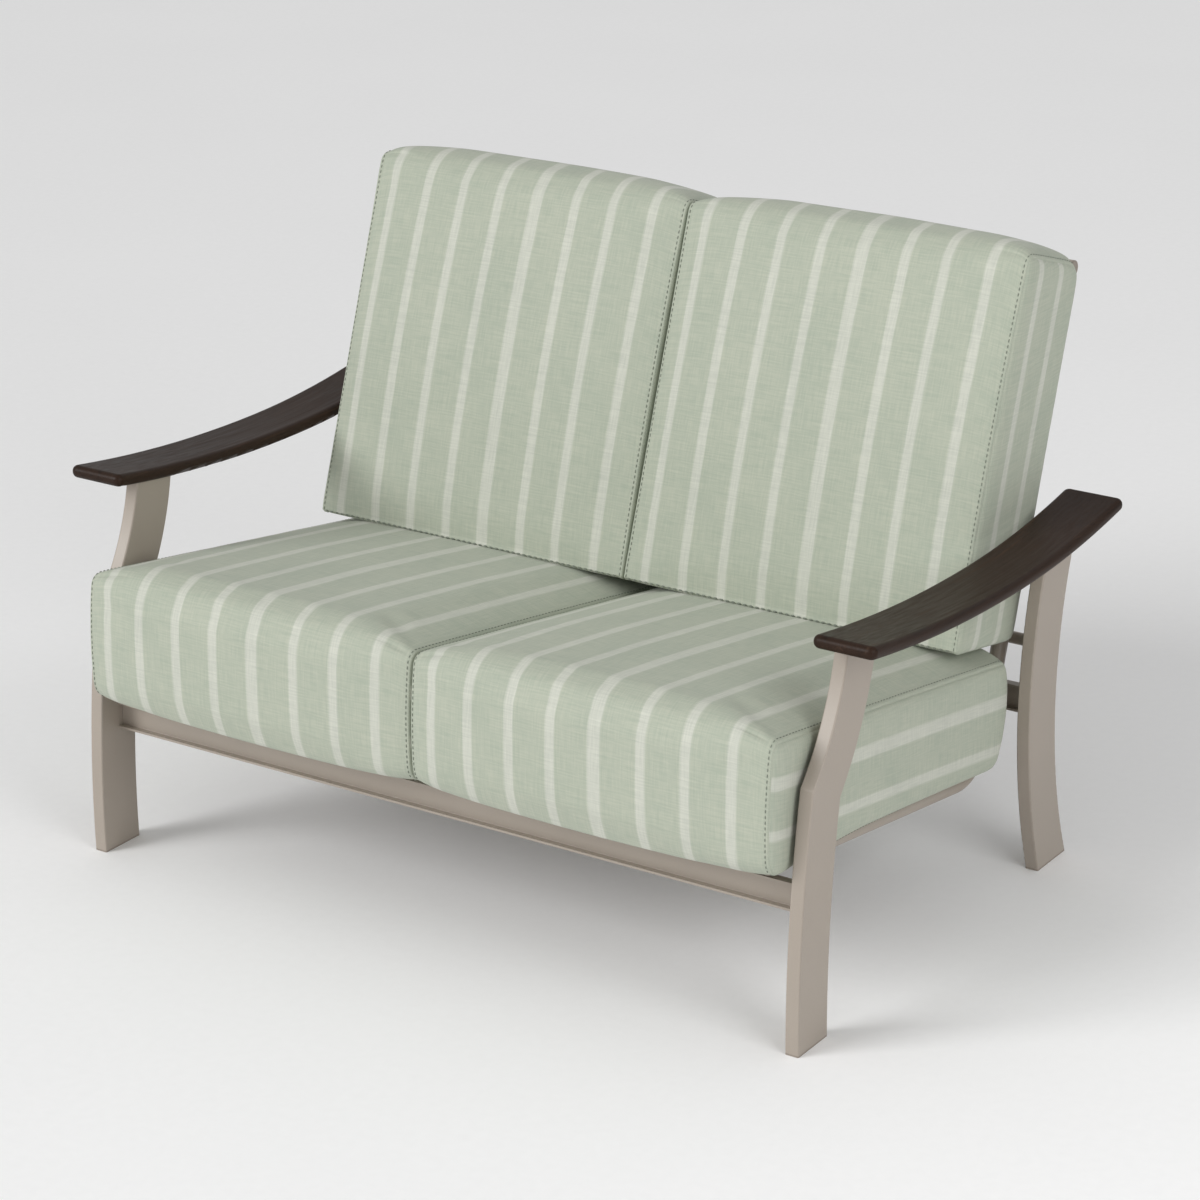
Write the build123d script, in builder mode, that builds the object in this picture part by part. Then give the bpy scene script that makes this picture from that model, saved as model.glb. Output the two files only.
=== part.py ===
from build123d import *

import math
import os

os.makedirs("parts", exist_ok=True)

# The origin is on the floor, under the middle of the seat's width and depth.
# X runs along the width, Y to the back, Z up. Lengths are in millimetres.

# Overall sizes
overall_depth = 962.0
leg_spread = 1270.0
front_y = -overall_depth / 2
rear_y = overall_depth / 2

# General clearances
loose_fit = 0.3
screw_fit = 0.12
cut_overrun = 5.0

# Front legs: flat hollow section, kinked where it turns back to carry the arm
leg_thickness = 22.0
leg_wall = 3.0
leg_edge_round = 2.5
leg_kink_round = 7.0
front_leg_width = 81.0
front_leg_station = 81.5
front_leg_plumb_height = 70.0
front_leg_lower_bend = 1870.0
front_leg_kink_height = 375.5
front_leg_upper_bend = 411.0
front_leg_upper_lean = 40.0
front_leg_end_lean = 4.0

# Rear legs: the same thickness, on one long curve
rear_leg_width = 87.0
rear_leg_plumb_height = 285.0
rear_leg_bend = 765.0
rear_leg_behind_upright = 14.8
rear_leg_end_lean = 24.0

# Foot glides
glide_base = 3.0
glide_plug_height = 26.0

# Arms: swooped slats, lowest a little behind their middle
arm_width = 98.0
arm_inboard_overhang = 30.5
arm_thickness = 19.5
arm_front_setback = 104.5
arm_rear_setback = 87.5
arm_low_share = 0.58
arm_low_top = 567.0
arm_front_bend = 2676.0
arm_rear_bend = 1861.0
arm_corner_round = 11.0
arm_edge_round = 9.0

# Arm bars and arm screws
arm_bar_width = 56.0
arm_bar_thickness = 6.0
arm_bar_front_setback = 22.0
arm_bar_rear_setback = 30.0
screw_radius = 3.0
screw_head_radius = 6.0
screw_head_height = 3.4
screw_length = 16.0
screw_hole_spare = 1.0
screw_place_shares = (0.06, 0.34, 0.62, 0.93)

# Cross rails: channels that open to the front, with a lip above and below
rail_height = 43.0
rail_depth = 14.0
rail_lip = 3.5
rail_web = 4.0
rail_inner_round = 1.0
front_rail_setback = 86.5
front_rail_bottom = 196.0
rear_rail_bottom = 257.0

# Bent rails that carry the slings
tube_radius = 12.7
tube_wall = 2.0
tube_bend = 85.0
tube_beside_leg = 60.0
seat_slope = 8.2
back_recline = 17.5
tube_front_setback = 3.0
back_top_height = 910.0
channel_radius = 3.0
channel_wall = 1.6
channel_slot = 2.4
tube_plug_face = 3.0
tube_plug_stem = 12.0
tube_plug_stem_height = 17.0
weld_gap = 0.05

# Lower back bar
lower_bar_radius = 9.5
lower_bar_wall = 1.6
lower_bar_height = 364.0

# Slings
sling_thickness = 1.2
seat_sling_front_gap = 8.0
seat_sling_rear_gap = 10.0
back_sling_bottom = 405.0
back_sling_top_gap = 12.0

# Loose cushions: cover, core and the gaps around them
cushion_past_tube = 45.0
cushion_seam_gap = 1.0
cover_thickness = 3.5
core_fit = 0.6
cushion_rest = 0.7
cushion_stack_gap = 0.9
side_draw_in = 2.0
middle_draw_in = 2.0

# Seat cushions, at the side seams and at the crown
seat_seam_front_setback = 24.5
seat_seam_low_front_setback = 18.5
seat_seam_above_rail = 31.0
seat_boxing_height = 200.0
seat_top_slope = 9.1623
seat_side_above_run = 29.3
seat_before_upright = 69.386
seat_rear_undercut = 23.0
seat_crown_top = 27.0
seat_crown_arch = 6.0
seat_crown_rear = 8.0
seat_front_bulge = 7.0
seat_front_droop = 6.0
seat_support_share = 0.74
seat_side_rise_share = 0.24
seat_rear_bulge_seam = 20.0
seat_seam_round = 20.0
seat_front_top_round = 40.0
seat_front_bottom_round = 34.0
seat_rear_round = 34.0

# Back cushions, measured square to their own recline
back_rear_gap = 25.5
back_rest_gap = 1.3
back_side_setback = 15.0
back_on_seat = 132.0
back_above_bar = 11.682
back_seam_thickness_top = 173.0
back_crown_front = 17.0
back_crown_front_base = 3.0
back_crown_top = 19.5
back_crown_arch = 6.0
back_rear_swell = 4.0
back_seam_round = 14.0
back_bottom_round = 9.0
back_top_round = 42.0
back_rear_round = 26.0

# Zips, one along the rear of each cover
zip_thickness = 1.6
zip_gap = 0.2
zip_width = 26.0
zip_length = 420.0
seat_zip_drop = 60.0
back_zip_rise = 91.0

# How far each cushion section has swelled out to the crown, from the middle seam to the side seam
crown_shares = (0.0, 0.44, 0.76, 0.95, 1.0, 0.96, 0.84, 0.6, 0.3, 0.0)
# How far the span between the rails has settled from the rails down to the sling
settle_shares = (0.0, 0.0, 0.27, 0.75, 0.95, 0.57, 0.0, 0.0, 0.0, 0.0)
# How far the underside has left the rails for the side seam
hang_shares = (0.0, 0.0, 0.0, 0.0, 0.0, 0.0, 0.0, 0.0, 0.5, 0.96)
swell_station_shares = (0.085, 0.25, 0.5, 0.75)
# Which sections shape the flatter inside of a cover, and its core
inner_keep_shares = (1, 1, 0, 1, 1, 1, 1, 1, 0, 1)
cushion_beside_tube = 2.5
cushion_seam_step = 10.0
back_seam_step = 7.0

SIDES = (("left", -1), ("right", 1))


def write(piece, name):
    """Label a finished piece and write it under its own name."""
    piece.part.label = name
    export_step(piece.part, f"parts/{name}.step")


def sin(degrees):
    """Sine of an angle in degrees."""
    return math.sin(math.radians(degrees))


def cos(degrees):
    """Cosine of an angle in degrees."""
    return math.cos(math.radians(degrees))


# Heights and places that follow from the sizes above
leg_outer_x = leg_spread / 2
leg_inner_x = leg_outer_x - leg_thickness
arm_front_y = front_y + arm_front_setback
arm_rear_y = rear_y - arm_rear_setback
arm_low_y = arm_front_y + arm_low_share * (arm_rear_y - arm_front_y)
arm_inner_x = leg_outer_x - arm_inboard_overhang
front_rail_y = front_y + front_rail_setback
front_rail_top = front_rail_bottom + rail_height
rear_rail_top = rear_rail_bottom + rail_height
back_top_y = rear_y - tube_radius
tube_station = leg_inner_x - tube_beside_leg


def upright_y(height):
    """Depth of the uprights' centreline at a height."""
    return back_top_y - (back_top_height - height) * math.tan(math.radians(back_recline))


# The seat run rests on the rear top edge of the front rail and meets the upright in one bend
seat_rest_y = front_rail_y + rail_depth
seat_rest_z = front_rail_top + tube_radius / cos(seat_slope)


def seat_run_z(y):
    """Height of the seat run's centreline at a depth."""
    return seat_rest_z - (y - seat_rest_y) * math.tan(math.radians(seat_slope))


tube_front_y = front_rail_y + tube_front_setback
tube_front_z = seat_run_z(tube_front_y)
corner_run = (back_top_y - tube_front_y) * cos(back_recline)
corner_run -= (back_top_height - tube_front_z) * sin(back_recline)
corner_run /= cos(seat_slope - back_recline)
tube_corner_y = tube_front_y + corner_run * cos(seat_slope)
tube_corner_z = tube_front_z - corner_run * sin(seat_slope)
bend_tangent = tube_bend * math.tan(math.radians((90 - back_recline + seat_slope) / 2))
rear_rail_y = upright_y(rear_rail_top) + tube_radius / cos(back_recline)
lower_bar_y = upright_y(lower_bar_height) + (tube_radius + lower_bar_radius) / cos(back_recline)
rear_leg_plumb_y = upright_y(rear_leg_plumb_height) + rear_leg_behind_upright
channel_offset = tube_radius - channel_wall - channel_radius


# Outlines of the arms and legs, seen from the side


def arm_height(y, drop):
    """Height of the line that runs a given drop below the top of the arm."""
    bend = arm_front_bend if y < arm_low_y else arm_rear_bend
    return arm_low_top + bend - math.sqrt((bend + drop) ** 2 - (y - arm_low_y) ** 2)


def arm_curve(start_y, end_y, drop):
    """Draw the two arcs of the arm's sweep at a given drop."""
    for y_from, y_to in ((start_y, arm_low_y), (arm_low_y, end_y)):
        y_middle = (y_from + y_to) / 2
        points = [(y, arm_height(y, drop)) for y in (y_from, y_middle, y_to)]
        ThreePointArc(*points)


def arm_band(start_y, end_y, top_drop, bottom_drop):
    """Draw the outline of the band between two drops below the arm's top."""
    arm_curve(start_y, end_y, top_drop)
    arm_curve(start_y, end_y, bottom_drop)
    for y in (start_y, end_y):
        Line((y, arm_height(y, top_drop)), (y, arm_height(y, bottom_drop)))


def leg_space():
    """Draw the outline of the space for the legs, between the glides and the arm bars."""
    ends = (arm_front_y - front_leg_width, arm_rear_y + rear_leg_width)
    arm_curve(*ends, arm_thickness)
    heads = [(y, arm_height(y, arm_thickness)) for y in ends]
    feet = [(y, glide_base) for y in ends]
    Polyline(heads[0], *feet, heads[1])


def bend_point(plumb, bend, lean, side):
    """Point beside a leg's curved centreline, where the leg leans by an angle."""
    y = plumb[0] + bend * (1 - cos(lean)) + side * cos(lean)
    z = plumb[1] + bend * sin(lean) - side * sin(lean)
    return (y, z)


def front_leg_outline(half_width, x):
    """Side outline of a front leg, on the plane at x."""
    plumb = (front_y + front_leg_station, front_leg_plumb_height)
    foot_lean = math.degrees(math.asin(-(front_leg_plumb_height + cut_overrun) / front_leg_lower_bend))
    kink_rise = front_leg_kink_height - front_leg_plumb_height
    kink_lean = math.degrees(math.asin(kink_rise / front_leg_lower_bend))
    kink = bend_point(plumb, front_leg_lower_bend, kink_lean, 0)
    half_turn = (front_leg_upper_lean - kink_lean) / 2

    def upper(lean, side):
        """Point beside the upper centreline."""
        y = kink[0] + front_leg_upper_bend * (cos(lean) - cos(front_leg_upper_lean)) + side * cos(lean)
        z = kink[1] + front_leg_upper_bend * (sin(front_leg_upper_lean) - sin(lean)) - side * sin(lean)
        return (y, z)

    with BuildSketch(Plane.YZ.offset(x)) as outline:
        ends = []
        corners = []
        with BuildLine():
            for side in (-half_width, half_width):
                foot = bend_point(plumb, front_leg_lower_bend, foot_lean, side)
                shin = bend_point(plumb, front_leg_lower_bend, (foot_lean + kink_lean) / 2, side)
                reach = side / cos(half_turn)
                turn = kink_lean + half_turn
                corner = (kink[0] + reach * cos(turn), kink[1] - reach * sin(turn))
                ThreePointArc(foot, shin, corner)
                wrist = upper((front_leg_upper_lean + front_leg_end_lean) / 2, side)
                head = upper(front_leg_end_lean, side)
                ThreePointArc(corner, wrist, head)
                ends.append((foot, head))
                corners.append(corner)
            for first, second in zip(*ends):
                Line(first, second)
        make_face()
        for corner in corners:
            target = outline.vertices().sort_by_distance(Vector(*corner))[0]
            fillet(target, leg_kink_round)
        with BuildLine():
            leg_space()
        make_face(mode=Mode.INTERSECT)
    return outline.sketch


def rear_leg_outline(half_width, x):
    """Side outline of a rear leg, on the plane at x."""
    plumb = (rear_leg_plumb_y, rear_leg_plumb_height)
    foot_lean = math.degrees(math.asin(-(rear_leg_plumb_height + rear_leg_width / 2) / rear_leg_bend))
    with BuildSketch(Plane.YZ.offset(x)) as outline:
        with BuildLine():
            ends = []
            for side in (-half_width, half_width):
                foot = bend_point(plumb, rear_leg_bend, foot_lean, side)
                middle = bend_point(plumb, rear_leg_bend, 0, side)
                head = bend_point(plumb, rear_leg_bend, rear_leg_end_lean, side)
                ThreePointArc(foot, middle, head)
                ends.append((foot, head))
            for first, second in zip(*ends):
                Line(first, second)
        make_face()
        with BuildLine():
            leg_space()
        make_face(mode=Mode.INTERSECT)
    return outline.sketch


def mirrored(piece):
    """The left hand of a right hand piece."""
    with BuildPart() as left:
        mirror(piece.part, about=Plane.YZ)
    return left


def write_pair(right, name):
    """Write a right hand piece and its mirror image."""
    write(right, f"{name}_right")
    write(mirrored(right), f"{name}_left")


# Legs and foot glides

for leg_name, leg_outline, leg_width in (
    ("front", front_leg_outline, front_leg_width),
    ("rear", rear_leg_outline, rear_leg_width),
):
    with BuildPart() as leg:
        extrude(leg_outline(leg_width / 2, leg_inner_x), amount=leg_thickness)
        long_edges = leg.edges().filter_by(GeomType.CIRCLE).filter_by(
            lambda edge: edge.center().Z < arm_low_top - arm_thickness
        )
        fillet(long_edges, leg_edge_round)
        hollow_x = leg_inner_x + leg_wall
        hollow = leg_outline(leg_width / 2 - leg_wall, hollow_x)
        extrude(hollow, amount=leg_thickness - 2 * leg_wall, mode=Mode.SUBTRACT)
    write_pair(leg, f"{leg_name}_leg")

    with BuildPart() as glide:
        plug_wall = leg_wall + loose_fit
        plug = leg_outline(leg_width / 2 - plug_wall, leg_inner_x + plug_wall)
        extrude(plug, amount=leg_thickness - 2 * plug_wall)
        split(bisect_by=Plane.XY.offset(glide_base + glide_plug_height), keep=Keep.BOTTOM)
        foot = leg.faces().sort_by(Axis.Z)[0].bounding_box()
        foot_centre = foot.center()
        with BuildSketch(Plane.XY) as base:
            with Locations((foot_centre.X, foot_centre.Y)):
                RectangleRounded(foot.size.X, foot.size.Y, leg_edge_round)
        extrude(amount=glide_base)
    write_pair(glide, f"{leg_name}_glide")


# Arms, arm bars and arm screws

bar_front_y = arm_front_y + arm_bar_front_setback
bar_rear_y = arm_rear_y - arm_bar_rear_setback
bar_drop = arm_thickness - arm_bar_thickness
screw_x = (leg_outer_x + leg_inner_x + arm_bar_width) / 2
screw_planes = []
for place_share in screw_place_shares:
    screw_y = bar_front_y + place_share * (bar_rear_y - bar_front_y)
    screw_bend = arm_front_bend if screw_y < arm_low_y else arm_rear_bend
    up = Vector(0, arm_low_y - screw_y, arm_low_top + screw_bend - arm_height(screw_y, arm_thickness))
    screw_planes.append(
        Plane(
            origin=(screw_x, screw_y, arm_height(screw_y, arm_thickness)),
            x_dir=(1, 0, 0),
            z_dir=up.normalized(),
        )
    )

with BuildPart() as arm_bar:
    with BuildSketch(Plane.YZ.offset(leg_inner_x)):
        with BuildLine():
            arm_band(bar_front_y, bar_rear_y, bar_drop, arm_thickness)
        make_face()
    extrude(amount=arm_bar_width)
    for screw_plane in screw_planes:
        with BuildSketch(screw_plane.offset(-cut_overrun)):
            Circle(screw_radius + screw_fit)
        extrude(amount=arm_bar_thickness + 2 * cut_overrun, mode=Mode.SUBTRACT)
write_pair(arm_bar, "arm_bar")

with BuildPart() as arm:
    with BuildSketch(Plane.YZ.offset(arm_inner_x - cut_overrun)):
        with BuildLine():
            arm_band(arm_front_y - cut_overrun, arm_rear_y + cut_overrun, 0, arm_thickness)
        make_face()
    extrude(amount=arm_width + 2 * cut_overrun)
    with BuildSketch(Plane.XY):
        with Locations((arm_inner_x + arm_width / 2, (arm_front_y + arm_rear_y) / 2)):
            RectangleRounded(arm_width, arm_rear_y - arm_front_y, arm_corner_round)
    extrude(amount=2 * arm_height(arm_front_y, 0), mode=Mode.INTERSECT)
    rims = arm.edges().filter_by(
        lambda edge: abs(edge.tangent_at(0.5).Z) < 0.5 and abs(edge.center().Y - arm_low_y) > arm_thickness
    )
    fillet(rims, arm_edge_round)
    with BuildSketch(Plane.YZ.offset(leg_inner_x - loose_fit)):
        with BuildLine():
            arm_band(bar_front_y - loose_fit, bar_rear_y + loose_fit, bar_drop, arm_thickness + cut_overrun)
        make_face()
    extrude(amount=arm_bar_width + 2 * loose_fit, mode=Mode.SUBTRACT)
    for screw_plane in screw_planes:
        with BuildSketch(screw_plane):
            Circle(screw_radius + screw_fit)
        extrude(amount=screw_length + screw_hole_spare, mode=Mode.SUBTRACT)
write_pair(arm, "arm")

with BuildPart() as arm_screws:
    for screw_plane in screw_planes:
        with BuildSketch(screw_plane.offset(-screw_head_height)):
            Circle(screw_head_radius)
        extrude(amount=screw_head_height)
        with BuildSketch(screw_plane):
            Circle(screw_radius)
        extrude(amount=screw_length)
    head_rims = arm_screws.edges().filter_by(GeomType.CIRCLE).filter_by(
        lambda edge: edge.radius > screw_radius * 1.5
    )
    fillet(head_rims.group_by(lambda edge: edge.arc_center.Z - arm_height(edge.arc_center.Y, arm_thickness))[0],
           screw_head_height / 3)
write_pair(arm_screws, "arm_screws")


# Cross rails

for rail_name, rail_y, rail_bottom in (
    ("front_rail", front_rail_y, front_rail_bottom),
    ("rear_rail", rear_rail_y, rear_rail_bottom),
):
    with BuildPart() as cross_rail:
        with BuildSketch(Plane.YZ.offset(-leg_inner_x)) as rail_section:
            web_front_y = rail_y + rail_depth - rail_web
            with Locations((web_front_y + rail_web / 2, rail_bottom + rail_height / 2)):
                Rectangle(rail_web, rail_height)
            for lip_z in (rail_bottom + rail_lip / 2, rail_bottom + rail_height - rail_lip / 2):
                with Locations((rail_y + rail_depth / 2, lip_z)):
                    Rectangle(rail_depth, rail_lip)
            inner_corners = rail_section.vertices().filter_by(
                lambda vertex: abs(vertex.X - web_front_y) < rail_lip / 2
            )
            fillet(inner_corners, rail_inner_round)
        extrude(amount=2 * leg_inner_x)
    write(cross_rail, rail_name)

with BuildPart() as lower_back_bar:
    with BuildSketch(Plane.YZ.offset(-leg_inner_x)):
        with Locations((lower_bar_y, lower_bar_height)):
            Circle(lower_bar_radius)
            Circle(lower_bar_radius - lower_bar_wall, mode=Mode.SUBTRACT)
    extrude(amount=2 * leg_inner_x)
write(lower_back_bar, "lower_back_bar")


# Bent rails, their plugs, and the top back bar

bar_half_length = tube_station + tube_radius - tube_plug_face
seat_direction = Vector(0, cos(seat_slope), -sin(seat_slope))
back_direction = Vector(0, sin(back_recline), cos(back_recline))


def tube_path(x):
    """Centreline of a bent rail: the seat run, one bend, and the upright."""
    with BuildLine(Plane.YZ.offset(x)) as path:
        FilletPolyline(
            (tube_front_y, tube_front_z),
            (tube_corner_y, tube_corner_z),
            (back_top_y, back_top_height),
            radius=tube_bend,
        )
    return path.line


def tube_section(channel_sides):
    """Round tube with a keyhole channel on each named side, in the open sketch."""
    Circle(tube_radius)
    Circle(tube_radius - tube_wall, mode=Mode.SUBTRACT)
    for channel_side in channel_sides:
        centre_x = channel_side * channel_offset
        with Locations((centre_x, 0)):
            Circle(channel_radius + channel_wall)
            Circle(channel_radius, mode=Mode.SUBTRACT)
        with Locations((centre_x + channel_side * (tube_radius - channel_offset) / 2, 0)):
            Rectangle(tube_radius - channel_offset + 2 * rail_inner_round, channel_slot, mode=Mode.SUBTRACT)


for tube_name, tube_x, channel_sides in (
    ("bent_rail_left", -tube_station, (1,)),
    ("bent_rail_centre", 0, (-1, 1)),
    ("bent_rail_right", tube_station, (-1,)),
):
    centreline = tube_path(tube_x)
    with BuildPart() as bent_rail:
        with BuildSketch(Plane(origin=centreline @ 0, x_dir=(1, 0, 0), z_dir=centreline % 0)):
            tube_section(channel_sides)
        sweep(path=centreline)
        with BuildSketch(Plane.YZ.offset(tube_x - 2 * tube_radius)):
            with Locations((back_top_y, back_top_height)):
                Circle(tube_radius + weld_gap)
        extrude(amount=4 * tube_radius, mode=Mode.SUBTRACT)
    write(bent_rail, tube_name)

with BuildPart() as rail_plugs:
    stem_width = 2 * (channel_offset - channel_radius - channel_wall - loose_fit)
    for tube_x in (-tube_station, 0, tube_station):
        tube_end = Plane(
            origin=(tube_x, tube_front_y, tube_front_z),
            x_dir=(1, 0, 0),
            z_dir=-seat_direction,
        )
        with BuildSketch(tube_end):
            Circle(tube_radius)
        extrude(amount=tube_plug_face)
        with BuildSketch(tube_end.offset(-tube_plug_stem)):
            Rectangle(stem_width, tube_plug_stem_height)
        extrude(amount=tube_plug_stem)
    plug_rims = rail_plugs.edges().filter_by(GeomType.CIRCLE).group_by(
        lambda edge: edge.arc_center.dot(seat_direction)
    )[0]
    fillet(plug_rims, tube_plug_face / 2)
write(rail_plugs, "rail_plugs")

with BuildPart() as top_back_bar:
    with BuildSketch(Plane.YZ.offset(-bar_half_length)):
        with Locations((back_top_y, back_top_height)):
            Circle(tube_radius)
            Circle(tube_radius - tube_wall, mode=Mode.SUBTRACT)
    extrude(amount=2 * bar_half_length)
write(top_back_bar, "top_back_bar")

with BuildPart() as top_bar_caps:
    for side_name, side in SIDES:
        bar_end = Plane(
            origin=(side * bar_half_length, back_top_y, back_top_height),
            z_dir=(side, 0, 0),
        )
        with BuildSketch(bar_end):
            Circle(tube_radius)
        extrude(amount=tube_plug_face)
        with BuildSketch(bar_end.offset(-tube_plug_stem)):
            Circle(tube_radius - tube_wall - loose_fit)
        extrude(amount=tube_plug_stem)
    cap_rims = top_bar_caps.edges().filter_by(GeomType.CIRCLE).filter_by(
        lambda edge: abs(edge.arc_center.X) > bar_half_length + tube_plug_face / 2
    )
    fillet(cap_rims, tube_plug_face / 2)
write(top_bar_caps, "top_bar_caps")


# Slings, each a sheet with a bead along both sides

seat_run_start = seat_sling_front_gap + rail_depth
seat_run_end = corner_run - bend_tangent - seat_sling_rear_gap
upright_length = (back_top_height - tube_corner_z) / cos(back_recline)
back_run_start = (back_sling_bottom - tube_corner_z) / cos(back_recline)
back_run_end = upright_length - tube_radius - back_sling_top_gap
sling_span = tube_station - 2 * channel_offset
for sling_name, run_origin, run_direction, run_start, run_end in (
    ("seat_sling", Vector(0, tube_front_y, tube_front_z), seat_direction, seat_run_start, seat_run_end),
    ("back_sling", Vector(0, tube_corner_y, tube_corner_z), back_direction, back_run_start, back_run_end),
):
    with BuildPart() as sling:
        sling_plane = Plane(
            origin=run_origin + run_direction * run_start + Vector(tube_station / 2, 0, 0),
            x_dir=(1, 0, 0),
            z_dir=run_direction,
        )
        with BuildSketch(sling_plane):
            Rectangle(sling_span, sling_thickness)
            with Locations((-sling_span / 2, 0), (sling_span / 2, 0)):
                Circle(channel_radius - loose_fit)
        extrude(amount=run_end - run_start)
    write_pair(sling, sling_name)


# Cushions: sections across the width, swelled from the seams to the crown and lofted

cushion_inner_x = cushion_seam_gap
cushion_outer_x = tube_station + cushion_past_tube


def cushion_stations(outer_x, seam_step, inset):
    """Places of a cushion's sections, from the middle of the seat outwards."""
    width = outer_x - cushion_inner_x
    swells = [cushion_inner_x + width * share for share in swell_station_shares]
    return [
        cushion_inner_x + inset,
        tube_radius + cushion_beside_tube,
        *swells,
        tube_station - tube_radius - cushion_beside_tube,
        tube_station + tube_radius + cushion_beside_tube,
        outer_x - seam_step,
        outer_x - inset,
    ]


def inset_corners(corners, inset):
    """Corners of a polygon moved inwards by the same distance on every side."""
    moved = []
    count = len(corners)
    for index, corner in enumerate(corners):
        before = Vector(*corners[index - 1])
        here = Vector(*corner)
        after = Vector(*corners[(index + 1) % count])
        arriving = (here - before).normalized()
        leaving = (after - here).normalized()
        inward_sum = Vector(arriving.Y + leaving.Y, -arriving.X - leaving.X)
        reach = inset / (1 + arriving.dot(leaving))
        shifted = here + inward_sum * reach
        moved.append((shifted.X, shifted.Y))
    return moved


def cushion_section(x, corners, bulges, rounds, inset):
    """One closed section of lines and arcs, its corners named clockwise from the front top."""
    places = inset_corners(corners, inset)
    with BuildSketch(Plane.YZ.offset(x)) as section:
        with BuildLine():
            for index, start in enumerate(places):
                end = places[(index + 1) % len(places)]
                if bulges[index]:
                    along = Vector(end[0] - start[0], end[1] - start[1])
                    outward = Vector(-along.Y, along.X).normalized() * bulges[index]
                    middle = ((start[0] + end[0]) / 2 + outward.X, (start[1] + end[1]) / 2 + outward.Y)
                    ThreePointArc(start, middle, end)
                else:
                    Line(start, end)
        make_face()
        for place, corner_round in zip(places, rounds):
            if corner_round:
                target = section.vertices().sort_by_distance(Vector(*place))[0]
                fillet(target, corner_round - inset)
    return section.sketch


def mix(first, second, share):
    """Value part of the way from the first to the second."""
    return first + (second - first) * share


def support_z(y, settle):
    """Height of what a seat cushion rests on: the rails, or the sling between them."""
    proud = mix(tube_radius, sling_thickness / 2, settle) / cos(seat_slope)
    return seat_run_z(y) + proud + cushion_rest


# The seat cushions' seam lines: their low front height is set off the rail, and their rear off the uprights
seat_seam_low_front = front_rail_top + seat_seam_above_rail
seat_seam_top_front = seat_seam_low_front + seat_boxing_height
seat_front_y = front_y + seat_seam_front_setback
seat_low_y = front_y + seat_seam_low_front_setback
upright_run = math.tan(math.radians(back_recline))
seat_fall = math.tan(math.radians(seat_top_slope))
seat_rear_y = upright_y(seat_seam_top_front + seat_front_y * seat_fall) - seat_before_upright
seat_rear_y /= 1 + upright_run * seat_fall
seat_low_rear_y = seat_rear_y - seat_rear_undercut


def seat_seam_top(y):
    """Height of the seat cushions' top seam line at a depth."""
    return seat_seam_top_front - (y - seat_front_y) * seat_fall


def seat_section(x, crown, settle, hang, inset):
    """One section of a seat cushion."""
    notch_y = tube_front_y - tube_plug_face - tube_radius
    rise_y = mix(notch_y, seat_low_rear_y, mix(seat_support_share, seat_side_rise_share, hang))

    def seam_bottom(y):
        """Height of the bottom seam line at a depth, which follows the rails behind the legs."""
        return seat_run_z(y) + seat_side_above_run

    front_line = mix(seat_front_y, front_y + seat_front_bulge, crown)
    low_line = mix(seat_low_y, front_y + seat_front_bulge, crown)
    rear_line = mix(seat_rear_y, seat_rear_y + seat_crown_rear, crown)
    rise = seat_crown_top * crown
    corners = (
        (front_line, seat_seam_top(front_line) + rise),
        (rear_line, seat_seam_top(rear_line) + rise),
        (seat_low_rear_y, seam_bottom(seat_low_rear_y)),
        (rise_y, mix(support_z(rise_y, settle), seam_bottom(rise_y), hang)),
        (notch_y, mix(support_z(notch_y, settle), seat_seam_low_front, hang)),
        (low_line, seat_seam_low_front - seat_front_droop * crown),
    )
    bulges = (seat_crown_arch * crown, seat_rear_bulge_seam, 0, 0, 0, seat_front_bulge)
    rounds = (
        mix(seat_seam_round, seat_front_top_round, crown),
        mix(seat_seam_round, seat_rear_round, crown),
        seat_rear_round,
        0,
        0,
        seat_front_bottom_round,
    )
    return cushion_section(x, corners, bulges, rounds, inset)


# The back cushions stand on the seat cushions and lean on the uprights and slings
back_rear_offset = back_rear_gap / cos(back_recline)
back_front_bottom_y = seat_rear_y - back_on_seat


def seat_crown_z(y):
    """Height of the seat cushions' crown at a depth."""
    start = front_y + seat_front_bulge
    end = seat_rear_y + seat_crown_rear
    along = (y - start) / (end - start)
    arch = 4 * seat_crown_arch * along * (1 - along)
    return seat_seam_top(y) + seat_crown_top + arch


def back_bottom_z(y):
    """Height of the back cushions' underside, laid on the seat cushions' crown."""
    front_z = seat_crown_z(back_front_bottom_y) + cushion_stack_gap
    rear_z = seat_crown_z(seat_rear_y) + cushion_stack_gap
    slope = (front_z - rear_z) / back_on_seat
    return front_z - (y - back_front_bottom_y) * slope


def back_rear_line(height):
    """Depth of the back cushions' rear seam plane at a height."""
    return upright_y(height) - back_rear_offset


def find_back_corner():
    """Where the rear seam plane meets the underside, found by stepping between the two lines."""
    height = lower_bar_height
    for step in range(12):
        height = back_bottom_z(back_rear_line(height))
    return Vector(back_rear_line(height), height)


back_corner = find_back_corner()
back_seam_height = (back_top_height + back_above_bar - back_corner.Y) / cos(back_recline)
back_up = Vector(sin(back_recline), cos(back_recline))
back_out = Vector(-cos(back_recline), sin(back_recline))


def back_point(up, out):
    """Point of a back cushion, from its rear bottom corner along and out of its recline."""
    place = back_corner + back_up * up + back_out * out
    return (place.X, place.Y)


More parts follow.
